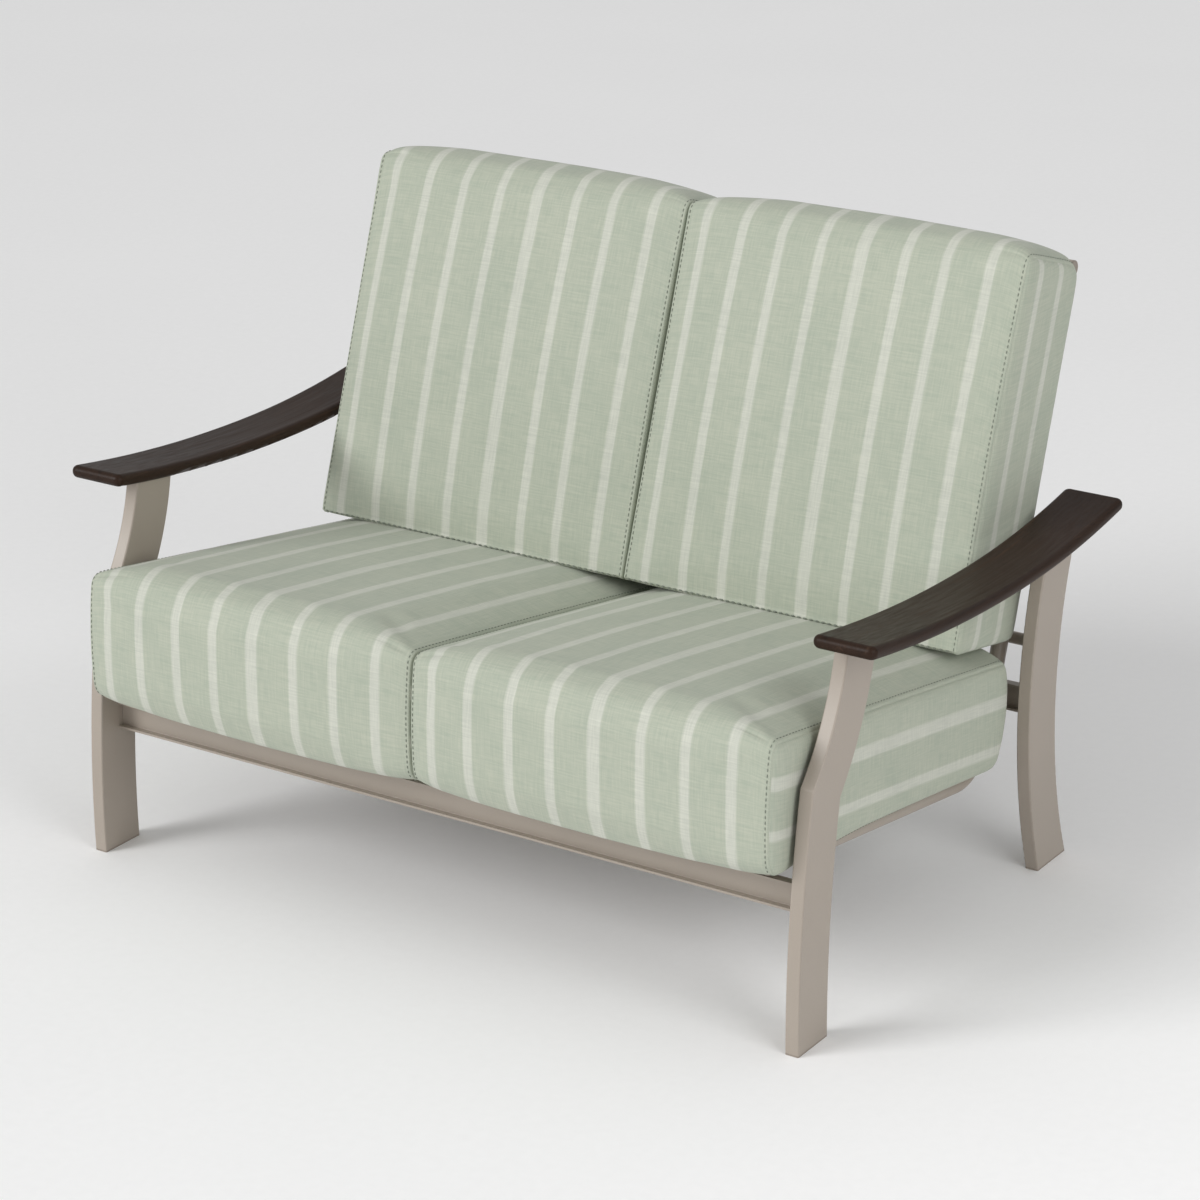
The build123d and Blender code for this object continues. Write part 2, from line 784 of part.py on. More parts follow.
def back_section(x, crown, settle, hang, inset):
    """One section of a back cushion."""
    base_out = back_crown_front_base * crown
    front_bottom_y = back_front_bottom_y - base_out
    swell = back_rear_swell * crown
    rise = back_crown_top * crown
    corners = (
        back_point(back_seam_height + rise, back_seam_thickness_top + base_out),
        back_point(back_seam_height + rise, -swell),
        back_point(0, 0),
        (front_bottom_y, back_bottom_z(front_bottom_y)),
    )
    proud = mix(tube_radius, sling_thickness / 2, settle)
    rear_bulge = back_rear_gap - proud - back_rest_gap - swell
    rear_bulge = mix(rear_bulge, rear_bulge / 2, hang) * mix(1, crown, hang)
    if crown == 0:
        rear_bulge = back_rear_swell
    bulges = (back_crown_arch * crown, rear_bulge, 0, mix(back_rear_swell / 2, back_crown_front, crown))
    rounds = (
        mix(back_seam_round, back_top_round, crown),
        back_rear_round,
        back_seam_round,
        back_bottom_round,
    )
    return cushion_section(x, corners, bulges, rounds, inset)


def cushion_sections(section, outer_x, seam_step, inset):
    """All the sections of one cushion, from the middle seam to the side seam."""
    stations = cushion_stations(outer_x, seam_step, inset)
    return [
        section(x, crown, settle, hang, inset)
        for x, crown, settle, hang in zip(stations, crown_shares, settle_shares, hang_shares)
    ]


def inner_sections(section, outer_x, seam_step, inset):
    """Every other section or so, for the flatter inside of a cover and for its core."""
    sections = cushion_sections(section, outer_x, seam_step, inset)
    return [inner for inner, keep_share in zip(sections, inner_keep_shares) if keep_share]


def side_cuts(end_plane, outer_x, inset):
    """Shallow segments at both ends of a cushion, which pull its sides in between their corners."""
    span = back_seam_height / 2
    with BuildSketch(end_plane) as cuts:
        for end_x, outward, draw in (
            (outer_x - inset, 1, side_draw_in),
            (cushion_inner_x + inset, -1, middle_draw_in),
        ):
            far = end_x + outward * cushion_seam_step
            with BuildLine():
                ThreePointArc((end_x, -span), (end_x - outward * draw, 0), (end_x, span))
                Polyline((end_x, -span), (far, -span), (far, span), (end_x, span))
            make_face()
    return cuts.sketch


seat_middle_y = (seat_front_y + seat_rear_y) / 2
seat_zip_z = seat_seam_top(seat_rear_y) - seat_zip_drop
back_zip_z = back_corner.Y + back_zip_rise
back_middle = back_point(back_seam_height / 2, 0)
seat_end_plane = Plane(origin=(0, seat_middle_y, 0), x_dir=(1, 0, 0), z_dir=(0, 0, 1))
back_end_plane = Plane(
    origin=(0, back_middle[0], back_middle[1]),
    x_dir=(1, 0, 0),
    z_dir=(0, back_out.X, back_out.Y),
)
seat_zip_plane = Plane(origin=(0, seat_low_rear_y, seat_zip_z), x_dir=(1, 0, 0), z_dir=(0, 1, 0))
back_zip_plane = Plane(
    origin=(0, back_rear_line(back_zip_z), back_zip_z),
    x_dir=(1, 0, 0),
    z_dir=(0, -back_out.X, -back_out.Y),
)

core_inset = cover_thickness + core_fit
back_outer_x = cushion_outer_x - back_side_setback
for cushion_name, section, outer_x, seam_step, end_plane, zip_plane in (
    ("seat", seat_section, cushion_outer_x, cushion_seam_step, seat_end_plane, seat_zip_plane),
    ("back", back_section, back_outer_x, back_seam_step, back_end_plane, back_zip_plane),
):
    with BuildPart() as cover:
        loft(cushion_sections(section, outer_x, seam_step, 0))
        extrude(side_cuts(end_plane, outer_x, 0), amount=overall_depth, both=True, mode=Mode.SUBTRACT)
    with BuildPart() as cavity:
        loft(inner_sections(section, outer_x, seam_step, cover_thickness), ruled=True)
        cavity_cuts = side_cuts(end_plane, outer_x, cover_thickness)
        extrude(cavity_cuts, amount=overall_depth, both=True, mode=Mode.SUBTRACT)
    with BuildPart() as core:
        loft(inner_sections(section, outer_x, seam_step, core_inset), ruled=True)
        core_cuts = side_cuts(end_plane, outer_x, core_inset)
        extrude(core_cuts, amount=overall_depth, both=True, mode=Mode.SUBTRACT)
    with BuildPart() as zip_strip:
        loft(cushion_sections(section, outer_x, seam_step, -zip_gap - zip_thickness))
        with BuildSketch(zip_plane):
            with Locations(((cushion_inner_x + outer_x) / 2, 0)):
                SlotOverall(zip_length, zip_width)
        extrude(amount=overall_depth / 4, mode=Mode.INTERSECT)
        loft(cushion_sections(section, outer_x, seam_step, -zip_gap), mode=Mode.SUBTRACT)
    with BuildPart() as cover_shell:
        add(cover.part)
        add(cavity.part, mode=Mode.SUBTRACT)
    write_pair(cover_shell, f"{cushion_name}_cover")
    write_pair(core, f"{cushion_name}_core")
    write_pair(zip_strip, f"{cushion_name}_zip")
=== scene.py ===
import logging
import math
from dataclasses import dataclass
from enum import Enum

import bmesh
import bpy
import numpy as np
from mathutils import Matrix, Vector, noise


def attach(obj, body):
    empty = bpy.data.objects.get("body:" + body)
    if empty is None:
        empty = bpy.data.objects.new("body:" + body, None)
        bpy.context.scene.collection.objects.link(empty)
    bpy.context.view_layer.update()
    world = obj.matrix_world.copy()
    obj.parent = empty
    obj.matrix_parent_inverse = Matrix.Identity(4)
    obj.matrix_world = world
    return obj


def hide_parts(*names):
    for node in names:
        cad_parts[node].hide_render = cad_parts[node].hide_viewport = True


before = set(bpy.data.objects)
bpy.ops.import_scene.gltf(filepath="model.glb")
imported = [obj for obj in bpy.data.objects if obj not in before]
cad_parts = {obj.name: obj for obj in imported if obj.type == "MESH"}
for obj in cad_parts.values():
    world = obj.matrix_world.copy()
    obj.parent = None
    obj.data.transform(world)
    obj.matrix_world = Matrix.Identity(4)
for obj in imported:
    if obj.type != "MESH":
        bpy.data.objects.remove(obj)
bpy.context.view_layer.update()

log = logging.getLogger("loveseat")


class Side(Enum):
    """A hand of the seat, with its sign along X."""

    LEFT = -1
    RIGHT = 1

    @property
    def word(self) -> str:
        """The hand as it stands in the names of pieces."""
        return self.name.lower()


class Panel(Enum):
    """The panels of a cushion's cover, by where they lie."""

    FRONT = 0
    TOP = 1
    REAR = 2
    BOTTOM = 3
    SIDE = 4


# Materials


class Graph:
    """Node tree of one new material, with short calls that add and join its nodes."""

    def __init__(self, name: str) -> None:
        """Start a material with its one shader.

        Args:
            name: Name of the material.
        """
        self.material = bpy.data.materials.new(name)
        self.material.use_nodes = True
        self.tree = self.material.node_tree
        self.shader = self.tree.nodes["Principled BSDF"]

    def feed(self, socket: bpy.types.NodeSocket, value: object) -> None:
        """Set a socket to a constant, or join another node's output to it."""
        if isinstance(value, bpy.types.NodeSocket):
            self.tree.links.new(value, socket)
        else:
            socket.default_value = value

    def add(self, kind: str, inputs: dict, **settings: object) -> bpy.types.Node:
        """Add a node.

        Args:
            kind: Node type, less its common beginning.
            inputs: Values or outputs for its sockets, by name or number.
            settings: Properties of the node.

        Returns:
            The new node.
        """
        node = self.tree.nodes.new("ShaderNode" + kind)
        for key, value in settings.items():
            setattr(node, key, value)
        for key, value in inputs.items():
            self.feed(node.inputs[key], value)
        return node

    def shade(self, **values: object) -> bpy.types.Material:
        """Feed the shader's sockets, named with _ for a space, and return the material."""
        for key, value in values.items():
            self.feed(self.shader.inputs[key.replace("_", " ")], value)
        return self.material

    def place(self) -> bpy.types.NodeSocket:
        """Position in the row frame."""
        return self.add("TexCoord", {}).outputs["Object"]

    def cloth(self) -> bpy.types.NodeSocket:
        """Position on the flat cloth, in metres, from the piece's own map."""
        return self.add("UVMap", {}, uv_map="cloth").outputs["UV"]

    def scaled(self, vector: bpy.types.NodeSocket, factors: tuple) -> bpy.types.NodeSocket:
        """A position stretched by three factors."""
        return self.add("VectorMath", {0: vector, 1: factors}, operation="MULTIPLY").outputs[0]

    def math(self, operation: str, first: object, second: object = 0.0) -> bpy.types.NodeSocket:
        """Result of one sum on two values."""
        return self.add("Math", {0: first, 1: second}, operation=operation).outputs[0]

    def noise(
        self, vector: bpy.types.NodeSocket, scale: float, detail: float = 2.0, distortion: float = 0.0
    ) -> bpy.types.NodeSocket:
        """Smooth noise from 0 to 1, around 0.5."""
        inputs = {"Vector": vector, "Scale": scale, "Detail": detail, "Distortion": distortion}
        return self.add("TexNoise", inputs).outputs[0]

    def spread(self, value: bpy.types.NodeSocket, lows: tuple, highs: tuple) -> bpy.types.NodeSocket:
        """A value carried from one range to another.

        Args:
            value: The value.
            lows: Its low end, and what that becomes.
            highs: Its high end, and what that becomes.

        Returns:
            The carried value, held within its new range.
        """
        inputs = {0: value, 1: lows[0], 2: highs[0], 3: lows[1], 4: highs[1]}
        return self.add("MapRange", inputs).outputs[0]

    def mix(self, share: object, first: object, second: object) -> bpy.types.NodeSocket:
        """Colour part of the way from the first to the second."""
        inputs = {0: share, 6: first, 7: second}
        return self.add("Mix", inputs, data_type="RGBA").outputs[2]

    def ramp(self, value: object, stops: tuple) -> bpy.types.NodeSocket:
        """Colour looked up along a row of stops, each a pair of a place from 0 to 1 and a colour."""
        node = self.add("ValToRGB", {0: value})
        elements = node.color_ramp.elements
        while len(elements) < len(stops):
            elements.new(1.0)
        for element, (position, colour) in zip(elements, stops):
            element.position = position
            element.color = colour
        return node.outputs[0]

    def bump(self, height: object, depth: float) -> bpy.types.NodeSocket:
        """Surface normal disturbed by a height from 0 to 1, where 1 is the depth in metres."""
        return self.add("Bump", {"Height": height, "Distance": depth}).outputs[0]

    def blend(self, first: object, second: object, share: float) -> bpy.types.NodeSocket:
        """Sum of two values, the second with the given share and the first with what is left."""
        return self.math("ADD", self.math("MULTIPLY", first, 1 - share), self.math("MULTIPLY", second, share))

    def across_and_along(self) -> tuple:
        """The cloth map, and its two parts."""
        cloth = self.cloth()
        parts = self.add("SeparateXYZ", {0: cloth}).outputs
        return cloth, parts[0], parts[1]


def grey(value: float) -> tuple:
    """An opaque grey."""
    return (value, value, value, 1.0)


SOFT_TONES = ((0.35, 0.0), (0.65, 1.0))


def gloss_range(roughness: float, under: float, over: float) -> tuple:
    """Ends of a range of roughness round a middle value, for noise from 0.3 to 0.7."""
    return (0.3, roughness - under), (0.7, roughness + over)


@dataclass(frozen=True)
class PowderCoat:
    """Baked coat on the metal frame: satin, with a fine pebbled texture."""

    name: str = "taupe_powder_coat"
    colour: tuple = (0.375, 0.325, 0.275, 1.0)
    shade: tuple = (0.345, 0.297, 0.25, 1.0)
    roughness: float = 0.42
    coat: float = 0.18
    coat_roughness: float = 0.3
    cloud_scale: float = 5.0
    speck_share: float = 0.3
    pebble_scale: float = 1400.0
    pebble_depth: float = 0.00006

    def material(self) -> bpy.types.Material:
        """Build the material."""
        graph = Graph(self.name)
        place = graph.place()
        cloud = graph.noise(place, self.cloud_scale, 3.0)
        speck = graph.noise(place, self.pebble_scale / 2, 1.0)
        tone = graph.blend(cloud, speck, self.speck_share)
        colour = graph.mix(graph.spread(tone, *SOFT_TONES), self.shade, self.colour)
        gloss = graph.spread(cloud, *gloss_range(self.roughness, 0.04, 0.05))
        pebbles = graph.bump(graph.noise(place, self.pebble_scale, 1.0), self.pebble_depth)
        return graph.shade(Base_Color=colour, Roughness=gloss, Normal=pebbles, Coat_Weight=self.coat,
                           Coat_Roughness=self.coat_roughness)


@dataclass(frozen=True)
class ArmWood:
    """Dark stained slat with a fine straight grain along the arm."""

    name: str = "espresso_wood_grain"
    dark: tuple = (0.013, 0.0068, 0.0043, 1.0)
    body: tuple = (0.028, 0.0145, 0.0088, 1.0)
    streak: tuple = (0.062, 0.034, 0.021, 1.0)
    stops: tuple = (0.3, 0.46, 0.56, 0.68)
    roughness: float = 0.4
    specular: float = 0.14
    band_scales: tuple = (34.0, 1.1, 34.0)
    line_scales: tuple = (210.0, 3.2, 210.0)
    pore_scales: tuple = (1100.0, 26.0, 1100.0)
    line_share: float = 0.38
    pore_range: tuple = ((0.56, 0.0), (0.66, 0.75))
    pore_depth_share: float = 0.6
    grain_depth: float = 0.00006

    def material(self) -> bpy.types.Material:
        """Build the material."""
        graph = Graph(self.name)
        place = graph.place()
        bands = graph.noise(graph.scaled(place, self.band_scales), 1.0, 6.0, 0.9)
        lines = graph.noise(graph.scaled(place, self.line_scales), 1.0, 4.0, 0.3)
        pores = graph.noise(graph.scaled(place, self.pore_scales), 1.0, 2.0)
        wood = graph.blend(bands, lines, self.line_share)
        colour = graph.ramp(wood, tuple(zip(self.stops, (self.dark, self.body, self.body, self.streak))))
        pore_share = graph.spread(pores, *self.pore_range)
        colour = graph.mix(pore_share, colour, self.dark)
        gloss = graph.spread(lines, *gloss_range(self.roughness, 0.05, 0.09))
        ridges = graph.math("SUBTRACT", lines, graph.math("MULTIPLY", pore_share, self.pore_depth_share))
        return graph.shade(Base_Color=colour, Roughness=gloss, Normal=graph.bump(ridges, self.grain_depth),
                           Specular_IOR_Level=self.specular)


@dataclass(frozen=True)
class StripedCanvas:
    """Heathered plain weave with pale stripes that run along its length."""

    name: str
    stripes: tuple
    narrow: float = 0.0156
    wide: float = 0.0208
    wide_one: int = 4
    repeat: float = 0.6
    base: tuple = (0.452, 0.477, 0.386, 1.0)
    base_shade: tuple = (0.364, 0.407, 0.327, 1.0)
    stripe: tuple = (0.585, 0.597, 0.52, 1.0)
    stripe_shade: tuple = (0.485, 0.503, 0.438, 1.0)
    edge: float = 0.0011
    fray: float = 0.0008
    yarn: float = 0.0013
    warp_scales: tuple = (430.0, 26.0, 1.0)
    weft_scales: tuple = (22.0, 430.0, 1.0)
    cloud_scale: float = 9.0
    weft_share: float = 0.55
    cloud_share: float = 0.2
    tones: tuple = ((0.39, 0.0), (0.61, 1.0))
    weave_share: float = 0.3
    weave_depth: float = 0.00022
    roughness: float = 0.68
    specular: float = 0.4
    sheen: float = 0.12
    sheen_roughness: float = 0.5

    def stops(self) -> tuple:
        """Places across the cloth where the stripes begin and end, each with 0 or 1 as a grey."""
        places = []
        for number, centre in enumerate(self.stripes):
            half = (self.wide if number == self.wide_one else self.narrow) / 2
            for reach, value in ((-half - self.edge, 0.0), (-half + self.edge, 1.0), (half - self.edge, 1.0),
                                 (half + self.edge, 0.0)):
                places.append(((centre + reach) / self.repeat, grey(value)))
        return tuple(places)

    def material(self) -> bpy.types.Material:
        """Build the material."""
        graph = Graph(self.name)
        cloth, across, along = graph.across_and_along()
        warp = graph.noise(graph.scaled(cloth, self.warp_scales), 1.0, 3.0)
        weft = graph.noise(graph.scaled(cloth, self.weft_scales), 1.0, 3.0)
        cloud = graph.noise(cloth, self.cloud_scale, 3.0)
        frayed = graph.spread(weft, (0.0, -self.fray), (1.0, self.fray))
        where = graph.math("DIVIDE", graph.math("ADD", across, frayed), self.repeat)
        striped = graph.ramp(where, self.stops())
        heather = graph.blend(graph.blend(warp, weft, self.weft_share), cloud, self.cloud_share)
        tone = graph.spread(heather, *self.tones)
        ground = graph.mix(tone, self.base_shade, self.base)
        pale = graph.mix(tone, self.stripe_shade, self.stripe)
        colour = graph.mix(striped, ground, pale)
        turn = 2 * math.pi / self.yarn
        over = graph.math("SINE", graph.math("MULTIPLY", across, turn))
        under = graph.math("SINE", graph.math("MULTIPLY", along, turn))
        weave = graph.math("MULTIPLY", over, under)
        height = graph.math("ADD", graph.math("MULTIPLY", weave, self.weave_share), heather)
        return graph.shade(Base_Color=colour, Roughness=self.roughness,
                           Normal=graph.bump(height, self.weave_depth), Specular_IOR_Level=self.specular,
                           Sheen_Weight=self.sheen, Sheen_Roughness=self.sheen_roughness)


@dataclass(frozen=True)
class Thread:
    """Bonded sewing thread, coloured darker than the cloth it matches: the dark is a painted shadow round
    each stitch.
    """

    name: str = "seam_thread"
    # Both colours are painted darker than the cloth, standing in for the shadow round each stitch.
    colour: tuple = (0.22, 0.245, 0.2, 1.0)
    shade: tuple = (0.14, 0.158, 0.127, 1.0)
    twist_scale: float = 2600.0
    twist_depth: float = 0.0001
    roughness: float = 0.7

    def material(self) -> bpy.types.Material:
        """Build the material."""
        graph = Graph(self.name)
        twist = graph.noise(graph.place(), self.twist_scale, 1.0)
        colour = graph.mix(graph.spread(twist, *SOFT_TONES), self.shade, self.colour)
        return graph.shade(Base_Color=colour, Roughness=self.roughness,
                           Normal=graph.bump(twist, self.twist_depth))


@dataclass(frozen=True)
class SlingMesh:
    """Coated open weave of the slings, with its open holes painted near-black as a painted shade for the dark
    seen through them.
    """

    name: str = "sling_open_weave"
    colour: tuple = (0.3, 0.27, 0.23, 1.0)
    shade: tuple = (0.21, 0.185, 0.155, 1.0)
    # Near-black painted shade for the open holes between the strands.
    hole: tuple = (0.05, 0.045, 0.04, 1.0)
    strand: float = 0.0021
    fleck_scales: tuple = (420.0, 40.0, 1.0)
    hole_range: tuple = ((0.6, 0.0), (0.8, 1.0))
    depth: float = 0.0004
    roughness: float = 0.55

    def material(self) -> bpy.types.Material:
        """Build the material."""
        graph = Graph(self.name)
        cloth, across, along = graph.across_and_along()
        turn = math.pi / self.strand
        over = graph.math("ABSOLUTE", graph.math("SINE", graph.math("MULTIPLY", across, turn)))
        under = graph.math("ABSOLUTE", graph.math("SINE", graph.math("MULTIPLY", along, turn)))
        open_share = graph.math("MULTIPLY", over, under)
        fleck = graph.noise(graph.scaled(cloth, self.fleck_scales), 1.0, 2.0)
        yarn = graph.mix(fleck, self.colour, self.shade)
        # Painted shade: the holes between the strands take the near-black colour.
        colour = graph.mix(graph.spread(open_share, *self.hole_range), yarn, self.hole)
        height = graph.math("SUBTRACT", 1.0, open_share)
        return graph.shade(Base_Color=colour, Roughness=self.roughness, Normal=graph.bump(height, self.depth))


@dataclass(frozen=True)
class Speckled:
    """A plain stuff with a fine grain: foam, moulded plastic, tape, steel or the floor."""

    name: str
    light: tuple
    dark: tuple
    grain: float
    depth: float
    roughness: float
    metallic: float = 0.0
    broad_share: float = 0.4
    broad_factor: float = 40.0

    def material(self) -> bpy.types.Material:
        """Build the material."""
        graph = Graph(self.name)
        place = graph.place()
        fine = graph.noise(place, self.grain, 3.0)
        broad = graph.noise(place, self.grain / self.broad_factor, 2.0)
        tone = graph.blend(fine, broad, self.broad_share)
        colour = graph.mix(graph.spread(tone, *SOFT_TONES), self.dark, self.light)
        gloss = graph.spread(fine, *gloss_range(self.roughness, 0.05, 0.05))
        return graph.shade(Base_Color=colour, Roughness=gloss, Metallic=self.metallic,
                           Normal=graph.bump(fine, self.depth))


SEAT_STRIPES = (0.042, 0.11, 0.181, 0.251, 0.324, 0.4, 0.472, 0.543)
BACK_STRIPES = (0.039, 0.108, 0.177, 0.247, 0.317, 0.389, 0.456, 0.528)


PLAIN_STUFFS = (
    ("cushion_foam", (0.8, 0.78, 0.68, 1), (0.66, 0.63, 0.52, 1), 900.0, 0.0006, 0.95),
    ("taupe_moulded_plastic", (0.29, 0.25, 0.21, 1), (0.25, 0.215, 0.18, 1), 1500.0, 0.00008, 0.5),
    ("stainless_steel", (0.62, 0.61, 0.6, 1), (0.5, 0.49, 0.48, 1), 2000.0, 0.00003, 0.3, 1.0),
    ("zip_tape_weave", (0.36, 0.41, 0.32, 1), (0.28, 0.33, 0.25, 1), 1600.0, 0.0002, 0.85),
    ("zip_coil", (0.4, 0.45, 0.36, 1), (0.33, 0.38, 0.3, 1), 1200.0, 0.00004, 0.4),
    ("pale_floor", (0.96, 0.96, 0.96, 1), (0.94, 0.94, 0.94, 1), 60.0, 0.0, 0.8),
)


class Finishes:
    """All the materials of the loveseat, each built once."""

    def __init__(self) -> None:
        """Build the materials."""
        self.metal = PowderCoat().material()
        self.wood = ArmWood().material()
        self.seat_canvas = StripedCanvas("striped_canvas_seat", SEAT_STRIPES).material()
        self.back_canvas = StripedCanvas("striped_canvas_back", BACK_STRIPES).material()
        self.thread = Thread().material()
        self.sling = SlingMesh().material()
        plain = [Speckled(*values).material() for values in PLAIN_STUFFS]
        self.foam, self.plastic, self.steel, self.tape, self.coil, self.floor = plain


# Modelling helpers


def put_down_all() -> None:
    """Deselect every object."""
    for other in bpy.context.selected_objects:
        other.select_set(False)


def take_up(piece: bpy.types.Object) -> None:
    """Make a piece the only one selected, and active."""
    put_down_all()
    piece.select_set(True)
    bpy.context.view_layer.objects.active = piece


def settled(piece: bpy.types.Object, name: str) -> bpy.types.Object:
    """Name a piece and carry its place, turn and size into its mesh."""
    take_up(piece)
    piece.name = name
    piece.data.name = name
    bpy.ops.object.transform_apply(location=True, rotation=True, scale=True)
    return piece


def joined(pieces: list) -> bpy.types.Object:
    """Join pieces into the first one, and shade it smooth."""
    put_down_all()
    for piece in pieces:
        piece.select_set(True)
    bpy.context.view_layer.objects.active = pieces[0]
    bpy.ops.object.join()
    smooth(pieces[0])
    return pieces[0]


def apply_modifier(piece: bpy.types.Object, kind: str, **settings: object) -> None:
    """Add a modifier to a piece with its settings, and apply it."""
    take_up(piece)
    modifier = piece.modifiers.new(kind.lower(), kind)
    for key, value in settings.items():
        setattr(modifier, key, value)
    bpy.ops.object.modifier_apply(modifier=modifier.name)


def points_of(piece: bpy.types.Object) -> np.ndarray:
    """Coordinates of a piece's points, one row each."""
    flat = np.empty(len(piece.data.vertices) * 3)
    piece.data.vertices.foreach_get("co", flat)
    return flat.reshape(-1, 3)


def move_points(piece: bpy.types.Object, places: np.ndarray) -> None:
    """Put a piece's points where the rows say."""
    piece.data.vertices.foreach_set("co", places.ravel())
    piece.data.update()


def normals_of(piece: bpy.types.Object) -> np.ndarray:
    """Outward direction at each of a piece's points."""
    flat = np.empty(len(piece.data.vertices) * 3)
    piece.data.vertex_normals.foreach_get("vector", flat)
    return flat.reshape(-1, 3)


def smooth(piece: bpy.types.Object) -> None:
    """Shade a piece smooth all over."""
    take_up(piece)
    bpy.ops.object.shade_smooth()


def eased(share: np.ndarray) -> np.ndarray:
    """Shares from 0 to 1 with a soft start and end."""
    held = np.clip(share, 0.0, 1.0)
    return held * held * (3 - 2 * held)


def mix(first: float, second: float, share: float) -> float:
    """Value part of the way from the first to the second."""
    return first + (second - first) * share


def monotone(stations: list, values: tuple, x: float) -> float:
    """Smooth value between stations that never overshoots them.

    Args:
        stations: Places where the values are known, in rising order.
        values: The known values.
        x: Where the value is wanted.

    Returns:
        The value there.
    """
    index = min(max(int(np.searchsorted(stations, x)) - 1, 0), len(stations) - 2)
    runs = np.diff(stations)
    slopes = np.diff(values) / runs
    tangents = [0.0] * len(stations)
    for inner in range(1, len(stations) - 1):
        before, after = slopes[inner - 1], slopes[inner]
        if before * after > 0:
            tangents[inner] = 2 * before * after / (before + after)
    tangents[0], tangents[-1] = slopes[0], slopes[-1]
    run = runs[index]
    t = (x - stations[index]) / run
    start, end = values[index], values[index + 1]
    return (
        start * (1 + 2 * t) * (1 - t) ** 2
        + end * t * t * (3 - 2 * t)
        + run * t * (1 - t) * (tangents[index] * (1 - t) - tangents[index + 1] * t)
    )


def copies_of(template: bpy.types.Object, places: list, name: str) -> bpy.types.Object:
    """One new piece made of many copies of a small shape.

    Args:
        template: The shape, modelled once round the origin. It is removed.
        places: A matrix for each copy.
        name: Name of the new piece.

    Returns:
        The new piece.
    """
    mesh = bpy.data.meshes.new(name)
    every = bmesh.new()
    for place in places:
        shape = template.data.copy()
        shape.transform(place)
        every.from_mesh(shape)
        bpy.data.meshes.remove(shape)
    every.to_mesh(mesh)
    every.free()
    piece = bpy.data.objects.new(name, mesh)
    bpy.context.scene.collection.objects.link(piece)
    bpy.data.objects.remove(template)
    smooth(piece)
    return piece


def facing(place: np.ndarray, along: np.ndarray, up: np.ndarray, sizes: tuple) -> Matrix:
    """Matrix that lays a shape's Z along a line and its Y outwards.

    Args:
        place: Where the shape's middle goes.
        along: Direction of the line.
        up: Outward direction there.
        sizes: Factors for the shape's three axes.

    Returns:
        The matrix.
    """
    z_axis = Vector(along).normalized()
    x_axis = Vector(up).cross(z_axis).normalized()
    y_axis = z_axis.cross(x_axis)
    columns = Matrix((x_axis * sizes[0], y_axis * sizes[1], z_axis * sizes[2])).transposed()
    return Matrix.Translation(Vector(place)) @ columns.to_4x4()


def finish_piece(
    piece: bpy.types.Object, body: str, material: bpy.types.Material, replaced: tuple = ()
) -> bpy.types.Object:
    """Give a new piece its material and body, and hide what it stands for."""
    piece.data.materials.clear()
    piece.data.materials.append(material)
    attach(piece, body)
    if replaced:
        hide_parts(*replaced)
    log.info("%s: %d points, rides on %s", piece.name, len(piece.data.vertices), body)
    return piece


# The frame that carries the cushions


@dataclass(frozen=True)
class SeatLines:
    """Lines of the bent rails that the slings and cushions lie along, in metres and radians."""

    front: float = -0.481
    rear: float = 0.481
    tube_radius: float = 0.0127
    tube_station: float = 0.553
    slope: float = math.radians(8.2)
    recline: float = math.radians(17.5)
    top: float = 0.91
    rail_y: float = -0.3805
    rail_top: float = 0.239
    tube_front: float = -0.3915
    bend: float = 0.085
    channel_offset: float = 0.0081
    sling_half: float = 0.0006

    def run_z(self, y: float) -> float:
        """Height of the seat run's centreline at a depth."""
        start = self.rail_top + self.tube_radius / math.cos(self.slope)
        return start - (y - self.rail_y) * math.tan(self.slope)

    def corner_run(self) -> float:
        """Length of the seat run from its front end to where it would meet the upright."""
        level = (self.rear - self.tube_radius - self.tube_front) * math.cos(self.recline)
        level -= (self.top - self.run_z(self.tube_front)) * math.sin(self.recline)
        return level / math.cos(self.slope - self.recline)

    def corner(self) -> tuple:
        """Depth and height where the seat run would meet the upright."""
        run = self.corner_run()
        return (
            self.tube_front + run * math.cos(self.slope),
            self.run_z(self.tube_front) - run * math.sin(self.slope),
        )


LINES = SeatLines()


class MetalFrame:
    """The carried-over pieces of the frame, which only need their finishes."""

    metal = ("front_leg", "rear_leg", "arm_bar", "bent_rail", "front_rail", "rear_rail", "lower_back_bar",
             "top_back_bar")
    plastic = ("front_glide", "rear_glide", "rail_plugs", "top_bar_caps")

    def dress(self, finishes: Finishes) -> None:
        """Give each carried-over piece its finish.

        Args:
            finishes: The materials.
        """
        kinds = [(start, finishes.metal) for start in self.metal]
        kinds += [(start, finishes.plastic) for start in self.plastic]
        kinds += [("arm_screws", finishes.steel), ("arm_left", finishes.wood), ("arm_right", finishes.wood)]
        for name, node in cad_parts.items():
            for start, material in kinds:
                if name.startswith(start):
                    node.data.materials.clear()
                    node.data.materials.append(material)
                    log.info("%s: %s", name, material.name)


SLING_FRONT = 0.04
SLING_BEND_GAP = 0.01
SLING_LOW = 0.405
SLING_TOP_GAP = 0.012


